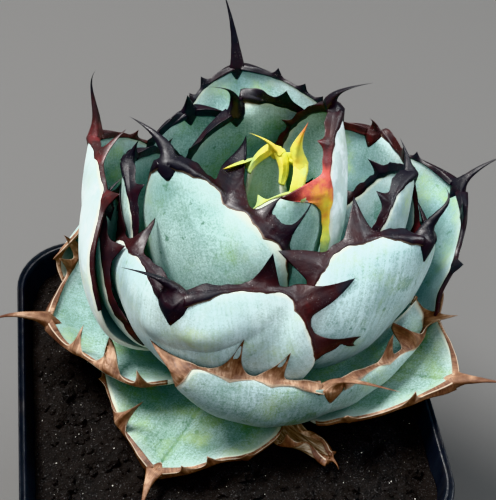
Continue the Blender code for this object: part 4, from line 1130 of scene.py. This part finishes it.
# Leaves
# Twenty-two living leaves, from the heart outwards, each grown from the stem and pressed round those inside
# it. Each has its name, tip, bend, root's azimuth and height, width and cup. Teeth are (distance from the
# tip, height, lean to the tip, curl inwards) on the left edge, 1, and the right, -1, or a count and a height.
YOUNG = (young_skin, live_horn, "young_horn")
INNER = (inner_skin, live_horn, "dark_horn")
OUTER = (outer_skin, live_horn, "dark_horn")
OLD = (old_skin, dead_horn, "dry_horn")
LEAVES = [
    (YOUNG, Leaf("young_1", (50, 10, 58), (60, 9, 34), (65, 19.2), 15, 80, cup_root=0, thick=1.6,
            cells=(24, 32), horn_width=1.0, clasp=0.7, horn_from=0.85, stout=1.5, ripe=(0.08, 0.2),
            spine=(6, 0.5, 0.9), teeth=(0, 5))),
    (YOUNG, Leaf("young_2", (20, 12, 57), (10, 13, 30), (350, 15.6), 22, 70, cup_root=0, thick=1.8,
            cells=(28, 36), horn_width=1.5, clasp=1.1, stout=2.6, ripe=(0.05, 0.14), horn_from=0.7,
            spine=(12, -0.2, -0.3), hook=(0, 0.1), teeth={1: [(10, 8, 0.0, 1.15)], -1: [(8, 2, 0, 0)]})),
    (INNER, Leaf("inner_front", (340, 11, 54), (290, 18, 22), (280, 15), 34, 85, thick=2.4,
            ripe=(0.0, 0.04), horn_width=0.3, clasp=0.1, horn_from=0.8, stout=0.6, spine=(2, 0.3, 0.6),
            teeth={1: [(12, 1, 0, 0)], -1: [(8, 2, 0, 0)]})),
    (INNER, Leaf("ball", (165, 19, 61), (238, 29, 24), (245, 15), 60, 88, shoulder=1.9, roundness=0.8,
            left=0.66, right=0.85, cells=(60, 76), horn_width=1.5, horn_from_right=0.8, stout=2.3,
            hook=(0.2, -0.1), ripe=(0.88, 1.0), clasp=1.2, draw=1.2, spine=(10, 0.0, -0.8),
            teeth={1: [(17, 14, 0.8, 0.0), (29, 14, 0.0, 0.0)], -1: [(14, 3, 0, 0)]})),
    (INNER, Leaf("inner_right", (36, 26, 62), (18, 28, 20), (12, 14.8), 38, 78, roll=-8, stout=2.5,
            pale=1.0, hook=(-0.5, -0.2), ripe=(-0.12, 0.95), ripe_left=(0.6, 0.95), horn_width=1.1,
            clasp=0.8, point=2.8, draw=1.1, spine=(8, -0.6, -0.7),
            teeth={1: [(14, 2, 0, 0)], -1: [(9, 2, 0, 0), (20, 13, 0.2, 0.0)]})),
    (INNER, Leaf("inner_back", (91, 23, 56), (91, 24, 16), (91, 14.4), 44, 60, clasp=1.2,
            spine=(10, 0.3, 0.3), hook=(0.0, 0.4), teeth={1: [(12, 5, 0, 0)], -1: [(11, 6, 0.3, 0)]})),
    (INNER, Leaf("inner_left", (148, 31, 51), (155, 32, 12), (160, 13.9), 40, 55, spine=(6, 0.3, 0.0),
            teeth=(2, 4))),
    (OUTER, Leaf("right_fold", (12, 40, 46), (345, 34, 12), (345, 13.4), 40, 60, pale=0.2,
            spine=(7, 0.4, 0.3), teeth=(2, 4))),
    (OUTER, Leaf("right_back", (36, 42, 44), (36, 32, 10), (36, 13), 48, 45, ripe=(0.7, 0.76), green=0.3,
            rumple=0.5, spine=(5, 0.8, 0.0), teeth=(2, 5))),
    (INNER, Leaf("back_left", (108, 35, 49), (108, 32, 10), (108, 12.5), 46, 50, spine=(8, 0.5, 0.2),
            teeth=(2, 6))),
    (OUTER, Leaf("front_right", (344, 40, 43), (312, 40, 10), (318, 11), 66, 72, shoulder=3.0,
            roundness=0.7, widest=0.6, right=0.88, cells=(64, 80), horn_width=1.2, stout=2.4,
            hook=(0.5, 0.0), ripe=(0.72, 1.0), clasp=0.9, draw=1.3, spine=(12, -0.5, 0.3),
            teeth={1: [(10, 5, 0, 0)], -1: [(15, 8.5, 0.1, 0.0), (28, 8, -0.3, 0.1)]})),
    (OUTER, Leaf("front_left", (231, 32, 48), (236, 41, 12), (236, 12), 88, 92, shoulder=3.2,
            roundness=0.7, widest=0.6, left=0.72, right=0.78, cells=(84, 84), horn_width=1.1, stout=2.9,
            ripe=(0.70, 0.97), clasp=0.7, green=0.35, pale=0.25, draw=1.2, spine=(8, -0.9, -1.2),
            dents=((0.3, 0.9, 0.22, 0.06, -2.2), (0.3, 0.8, 0.3, 0.025, 0.8), (-0.2, 0.86, 0.1, 0.05, -0.8)),
            teeth={1: [(18, 6, 0, -0.9), (28, 11, 0.2, 0.2), (40, 9, 0, -0.4), (50, 7, 0, -0.3)],
                   -1: [(17, 7, -0.3, 0.3), (30, 11, 0.2, 0.4)]})),
    (INNER, Leaf("left", (168, 33, 45), (175, 36, 10), (182, 10.5), 34, 60, hook=(0.3, -0.3),
            ripe=(0.74, 0.9), spine=(7, 0.5, -0.3), teeth=(2, 5))),
    (OUTER, Leaf("back", (86, 57, 43), (86, 40, 8), (86, 9.5), 60, 35, roundness=0.75, left=0.65,
            cells=(56, 72), horn_width=0.45, clasp=0.3, stout=1.7, green=0.4, rumple=0.9,
            spine=(21, 0.05, 0.15), teeth=(5, 2.5))),
    (OUTER, Leaf("far_left", (138, 46, 46), (160, 42, 12), (150, 8.5), 54, 60, shoulder=2.8,
            roundness=0.7, left=1.2, cells=(56, 72), ripe=(0.84, 0.7), pale=0.7, green=0.4, stout=1.9,
            hook=(0.2, 0.0), horn_width=0.5, clasp=0.35, rumple=0.5, spine=(17, -0.2, 0.1),
            teeth={1: [(11, 8, 0.2, 0.2), (26, 6, -0.2, 0)], -1: [(12, 2, 0, 0)]})),
    (OLD, Leaf("front", (291, 37, 23), (283, 41, 3), (282, 7.5), 92, 64, shoulder=3.2, roundness=0.7,
            left=0.85, right=0.8, cup_tip=30, widest=0.6, horn_from_right=0.5, cells=(84, 84),
            horn_width=0.4, clasp=0.2, stout=1.9, draw=0.9, rumple=0.3, point=3.0, spine=(8, -1.6, 1.1),
            hook=(0.0, 0.1),
            teeth={1: [(14, 6, -0.2, -0.4), (24, 10, 0.8, 0.7), (33, 8, 0.1, 0.2)],
                   -1: [(12, 10, 0.1, -0.2), (22, 12, 0, -0.2), (34, 8, 0.2, 1.0)]})),
    (OUTER, Leaf("far_right", (14, 56, 33), (14, 40, 4), (14, 6.5), 60, 42, right=0.8, cells=(56, 72),
            pale=0.2, horn_width=0.4, clasp=0.3, stout=1.6, rumple=0.6, spine=(14, -0.5, -0.1),
            teeth={1: [(12, 2, 0, 0), (24, 3, 0, 0)], -1: [(9, 7, 0, 0.3), (22, 5, 0, 0)]})),
    (OLD, Leaf("low_left", (180, 51, 15), (186, 25, 2), (195, 5.5), 66, 40, shoulder=2.0, roundness=0.8,
            left=0.7, right=1.1, cells=(68, 76), horn_width=0.35, clasp=0.2, point=3.0, stout=1.7,
            green=0.15, spine=(16, -0.2, 0.2), rumple=0.45, hook=(-0.25, 0.0),
            dents=((0.0, 0.75, 0.05, 0.3, -0.4),),
            teeth={1: [(13, 3, 0.2, 2.2), (23, 4, 0.8, 2.8), (32, 3, 0.6, 1.5)],
                   -1: [(15, 6, 0.3, 0.3), (20, 8, 0.3, 0.2), (32, 4, 0, 0)]})),
    (OLD, Leaf("low_right", (324, 55, 16), (324, 28, 2), (324, 5), 56, 32, shoulder=1.8, roundness=0.8,
            left=0.8, right=0.75, cells=(60, 76), horn_width=0.35, clasp=0.2, point=3.0, stout=1.7,
            green=0.4, spine=(13, 0.0, 0.0), rumple=0.4, hook=(-0.2, 0.1),
            dents=((0.0, 0.75, 0.05, 0.3, -0.4),),
            teeth={1: [(20, 6, 0, 0.3), (32, 4, 0, 0)], -1: [(12, 5, 0.2, 0.6), (27, 6, 0.2, 0.5)]})),
    (OLD, Leaf("low_back_right", (58, 50, 25), (58, 28, 11), (52, 4.5), 50, 30, horn_width=0.6, stout=1.7,
            green=0.4, spine=(12, 0.0, 0.0), teeth=(3, 4))),
    (OLD, Leaf("low_back_left", (128, 48, 28), (128, 28, 15), (128, 4), 42, 30, right=0.8, horn_width=0.6,
            stout=1.7, green=0.4, spine=(12, 0.0, 0.0), teeth=(3, 4))),
    (OLD, Leaf("lowest", (235, 50, 5), (235, 25, 2), (240, 3), 52, 22, shoulder=1.6, roundness=0.85,
            left=0.85, cells=(64, 76), horn_width=0.35, clasp=0.2, point=3.0, stout=1.6, green=0.6,
            spine=(11, -0.3, 0.3), hook=(0.0, -0.2), rumple=0.5,
            dents=((0.02, 0.7, 0.045, 0.35, -0.7), (-0.3, 0.5, 0.12, 0.08, -0.7)),
            teeth={1: [(7, 4, 0.2, 1.2), (13, 3, 0.2, 1.2), (21, 5, 0.2, 0.8)],
                   -1: [(15, 4.5, 0.5, 2.4), (27, 1.5, 0, 0.5)]})),
]

blades = [BVHTree.FromPolygons(spindle.tolist(), faces_of(bud.data))]
for (skin, _, _), leaf in LEAVES:
    leaf.press_on(blades)
    blades.append(leaf_blade(leaf, skin, "glaucous_leaf"))
for index, ((_, horn, horn_slot), leaf) in enumerate(LEAVES):
    leaf_horn(leaf, horn, horn_slot, blades[: index + 1], blades[index + 2 :])

# Dried leaf
# A shrivelled strap of an old leaf that lies on the soil under the front leaf, brown, cream and papery,
# narrow and deeply cupped. It still holds to the foot of the stem.
dried_skin, tree, shader = new_material("dried_leaf_skin", Roughness=0.75)
fibres = speckle(tree, stretched(tree, attribute(tree, "leaf_place"), 1.0, 0.1, 0.2), 1.8, 0.35, 0.65, 5.0)
straw = [(0.0, colour(0.10, 0.055, 0.035)), (0.45, colour(0.33, 0.22, 0.14)), (1.0, colour(0.72, 0.62, 0.48))]
paint(tree, shader, ramp(tree, fibres, straw))
bump(tree, shader, fibres, 0.0004)
dried = Leaf("dry", (287, 44, 3), (264, 28, 2), (262, 2), 8, 100, widest=0.7, roundness=0.8, thick=1.1,
             wave=1.6, rumple=0.7, spine=(4, 0.2, -0.6), cells=(28, 60), horn_width=0.3, clasp=0.15,
             horn_from=0.7, stout=0.6, teeth={1: [(7, 2, 0, 0.5)], -1: [(11, 3, 0, 0.5)]})
dried.press_on(blades)
blades.append(leaf_blade(dried, dried_skin, "dry_leaf"))
leaf_horn(dried, dead_horn, "dry_horn", blades[:-1], [])

# Soil
# Damp dark peat, filled to a little above the rim's foot, with lumps, crumbs and a few pale grains of grit,
# and hollowed a little where the lowest leaves lie on it.
SOIL_DIP = 2.0
SOIL_LUMP = 0.5
SOIL_CELLS = 190
SOIL_INSET = POT_WALL + GAP
SOIL_CORNER = 12.5
SOIL_FOOT = POT_FLOOR + 2.0
SOIL_SMOOTH_TO = math.radians(60)
WAVES = 40
WAVE_HEIGHT = 0.13
WAVE_NUMBERS = (0.1, 2.4)
WAVE_FALL = 0.5
LOW_LEAVES = 5
UNDER_ALL = -26.0
LOOK_UP = 40.0
CRUMBS = 900
GRITS = 420
CRUMB_SEAT = 0.25
CRUMBS_INSET = 2
CRUMB_STRETCH = (0.6, 1.3)
SOIL_SEED = 11

soil_skin, tree, shader = new_material("peat_skin", Roughness=0.95, Specular_IOR_Level=0.25)
where = object_place(tree)
damp = speckle(tree, where, 70, 0.35, 0.65, 4.0)
crumb = speckle(tree, where, 900, 0.35, 0.7, 4.0)
grains_and_glints = speckle(tree, where, 2300, 0.56, 0.65, 2.0)
peat = blend(tree, damp, colour(0.004, 0.0037, 0.0038), colour(0.011, 0.0095, 0.009))
peat = blend(tree, times(tree, crumb, 0.6), peat, colour(0.021, 0.018, 0.017))
# Pale specks: partly fine grains in the peat, partly painted glints
peat = blend(tree, times(tree, grains_and_glints, 0.55), peat, colour(0.12, 0.115, 0.115))
paint(tree, shader, peat, spread(tree, damp, 0, 1, 0.7, 0.98))
bump(tree, shader, plus(tree, crumb, grains_and_glints), 0.0005)

chance = np.random.default_rng(SOIL_SEED)
waves = []
for _ in range(WAVES):
    waves.append((chance.uniform(*WAVE_NUMBERS), chance.uniform(0, ANY_PHASE), chance.uniform(0, ANY_PHASE)))


def soil_height(x, y):
    """The soil's level at a spot, with its lumps, and lowered where a leaf lies on it."""
    share = np.clip(np.maximum(abs(x), abs(y)) / (wall_side(SOIL_LEVEL) / 2), 0, 1)
    level = SOIL_LEVEL - SOIL_DIP * share**2
    broad = np.sin(0.31 * x + 1.3) * np.cos(0.27 * y)
    level = level + SOIL_LUMP * (broad + 0.6 * np.sin(0.73 * x - 0.5 * y))
    for wave, turn, phase in waves:
        across = x * np.cos(turn) + y * np.sin(turn)
        level = level + WAVE_HEIGHT / (WAVE_FALL + wave) * np.sin(wave * across + phase)
    for index in range(len(level)):
        under = Vector((x[index] - PLANT_X, y[index] - PLANT_Y, UNDER_ALL))
        for blade in blades[-LOW_LEAVES:]:
            hit = blade.ray_cast(under, Vector((0, 0, 1)), LOOK_UP)
            if hit[0] is not None:
                level[index] = min(level[index], SOIL_LEVEL + hit[0].z - GAP)
    return level


deselect()
bpy.ops.mesh.primitive_grid_add(x_subdivisions=SOIL_CELLS, y_subdivisions=SOIL_CELLS, size=2)
soil = bpy.context.object
flat = points_of(soil.data)
soil_half = wall_side(SOIL_LEVEL) / 2 - SOIL_INSET
x, y = flat[:, 0] * soil_half, flat[:, 1] * soil_half
long = np.maximum(np.maximum(abs(x), abs(y)), 1e-6)
edge_x, edge_y = x / long * soil_half, y / long * soil_half
centre = soil_half - SOIL_CORNER
in_corner = (abs(edge_x) > centre) & (abs(edge_y) > centre)
# In a corner, the spoke from the centre is cut where it meets the corner's arc
spoke = np.maximum(np.hypot(edge_x, edge_y), soil_half)
along_way = centre * (abs(edge_x) / spoke + abs(edge_y) / spoke)
cut = along_way + np.sqrt(np.maximum(along_way**2 - 2 * centre**2 + SOIL_CORNER**2, 0))
pull = 1 + (np.where(in_corner, cut / spoke, 1.0) - 1) * (long / soil_half) ** 4
x, y = x * pull, y * pull
soil.data.vertices.foreach_set("co", np.ravel(np.column_stack([x, y, soil_height(x, y)]) * MM))
bpy.ops.object.mode_set(mode="EDIT")
bpy.ops.mesh.select_all(action="SELECT")
bpy.ops.mesh.region_to_loop()
bpy.ops.mesh.extrude_region_move(TRANSFORM_OT_translate={"value": (0, 0, 0)})
shrunk = (wall_side(SOIL_FOOT) / 2 - SOIL_INSET) / soil_half
bpy.ops.transform.resize(value=(shrunk, shrunk, 0), center_override=(0, 0, SOIL_FOOT * MM))
bpy.ops.mesh.edge_face_add()
bpy.ops.object.mode_set(mode="OBJECT")
bpy.ops.object.shade_smooth_by_angle(angle=SOIL_SMOOTH_TO)
settle(soil, "peat", soil_skin, "peat", "soil")

grit_skin, tree, shader = new_material("grit_skin", Roughness=0.6)
pebble = speckle(tree, object_place(tree), 400, 0.3, 0.7)
paint(tree, shader, blend(tree, pebble, colour(0.35, 0.33, 0.30), colour(0.75, 0.73, 0.68)))


def scatter(name, count, smallest, largest, material, rough):
    """Many small lumps on the soil, each its own rough ball, all in one piece."""
    deselect()
    bpy.ops.mesh.primitive_ico_sphere_add(subdivisions=2 if rough else 1, radius=1.0)
    seed = bpy.context.object
    ball = points_of(seed.data)
    polygons = faces_of(seed.data)
    bpy.data.objects.remove(seed)
    spots = chance.uniform(-soil_half + CRUMBS_INSET, soil_half - CRUMBS_INSET, (count, 2))
    heights = soil_height(spots[:, 0].copy(), spots[:, 1].copy())
    points, faces = [], []
    for (spot_x, spot_y), level in zip(spots, heights):
        size = smallest + (largest - smallest) * chance.uniform() ** 3
        stretch = chance.uniform(*CRUMB_STRETCH, 3) * size
        lump = ball * (1 + rough * chance.normal(size=(len(ball), 1))) * stretch
        turn = chance.uniform(0, ANY_PHASE)
        lump = np.column_stack([lump[:, 0] * math.cos(turn) - lump[:, 1] * math.sin(turn),
                                lump[:, 0] * math.sin(turn) + lump[:, 1] * math.cos(turn), lump[:, 2]])
        base = len(points)
        points += (lump + [spot_x, spot_y, level + CRUMB_SEAT * size]).tolist()
        faces += [tuple(base + corner for corner in face) for face in polygons]
    mesh = bpy.data.meshes.new(name)
    mesh.from_pydata((np.array(points) * MM).tolist(), [], faces)
    settle(new_object(name, mesh), name, material, "peat")


scatter("peat_crumbs", CRUMBS, 0.3, 1.7, soil_skin, 0.16)
scatter("pale_grit", GRITS, 0.07, 0.2, grit_skin, 0.0)

# Floor, light and camera
# A plain matt floor in soft grey. A soft key light hangs high at the left and behind, with a broad, weak
# fill in front and a cool light at the right. The camera looks down from the front, a little from the left.
FLOOR_SIDE = 6
LIT_SPOT = Vector((0, 0, 0.1))
WORLD_STRENGTH = 0.28
VIEW_AZIMUTH = math.radians(-8)
VIEW_ELEVATION = math.radians(48)
VIEW_DISTANCE = 0.313
VIEW_TARGET = Vector((0.0125, 0.040, 0.090))
VIEW_LENS = 82.8
VIEW_SENSOR = 36
VIEW_NEAR = 0.01

deselect()
bpy.ops.mesh.primitive_plane_add(size=FLOOR_SIDE)
floor = bpy.context.object
floor.name = "floor"
floor_paint, tree, shader = new_material("floor_paint", Roughness=0.9, Specular_IOR_Level=0.1)
shader.inputs["Base Color"].default_value = colour(0.13, 0.128, 0.126)
floor.data.materials.append(floor_paint)


def aim(piece, target):
    piece.rotation_euler = (target - piece.location).to_track_quat("-Z", "Y").to_euler()


def soft_light(name, azimuth, elevation, distance, size, power, tint):
    data = bpy.data.lights.new(name, "AREA")
    data.shape = "DISK"
    data.size = size
    data.energy = power
    data.color = tint
    made = new_object(name, data)
    made.location = Vector(place(azimuth, distance * math.cos(math.radians(elevation)),
                                 distance * math.sin(math.radians(elevation))))
    aim(made, LIT_SPOT)


soft_light("key", azimuth=150, elevation=70, distance=1.1, size=0.42, power=22.5, tint=(1.0, 0.99, 0.97))
soft_light("fill", azimuth=262, elevation=60, distance=1.2, size=0.9, power=5.0, tint=(0.94, 0.98, 1.0))
soft_light("rim", azimuth=0, elevation=40, distance=1.1, size=0.4, power=7.0, tint=(0.92, 0.97, 1.0))

world = bpy.data.worlds.new("studio")
world.use_nodes = True
background = world.node_tree.nodes["Background"]
background.inputs["Color"].default_value = colour(0.82, 0.86, 0.9)
background.inputs["Strength"].default_value = WORLD_STRENGTH
bpy.context.scene.world = world
bpy.context.scene.view_settings.view_transform = "Khronos PBR Neutral"

lens = bpy.data.cameras.new("camera")
lens.lens = VIEW_LENS
lens.sensor_width = VIEW_SENSOR
lens.clip_start = VIEW_NEAR
camera = new_object("camera", lens)
camera.location = VIEW_TARGET + VIEW_DISTANCE * Vector((
    math.sin(VIEW_AZIMUTH) * math.cos(VIEW_ELEVATION),
    -math.cos(VIEW_AZIMUTH) * math.cos(VIEW_ELEVATION),
    math.sin(VIEW_ELEVATION),
))
aim(camera, VIEW_TARGET)
bpy.context.scene.camera = camera
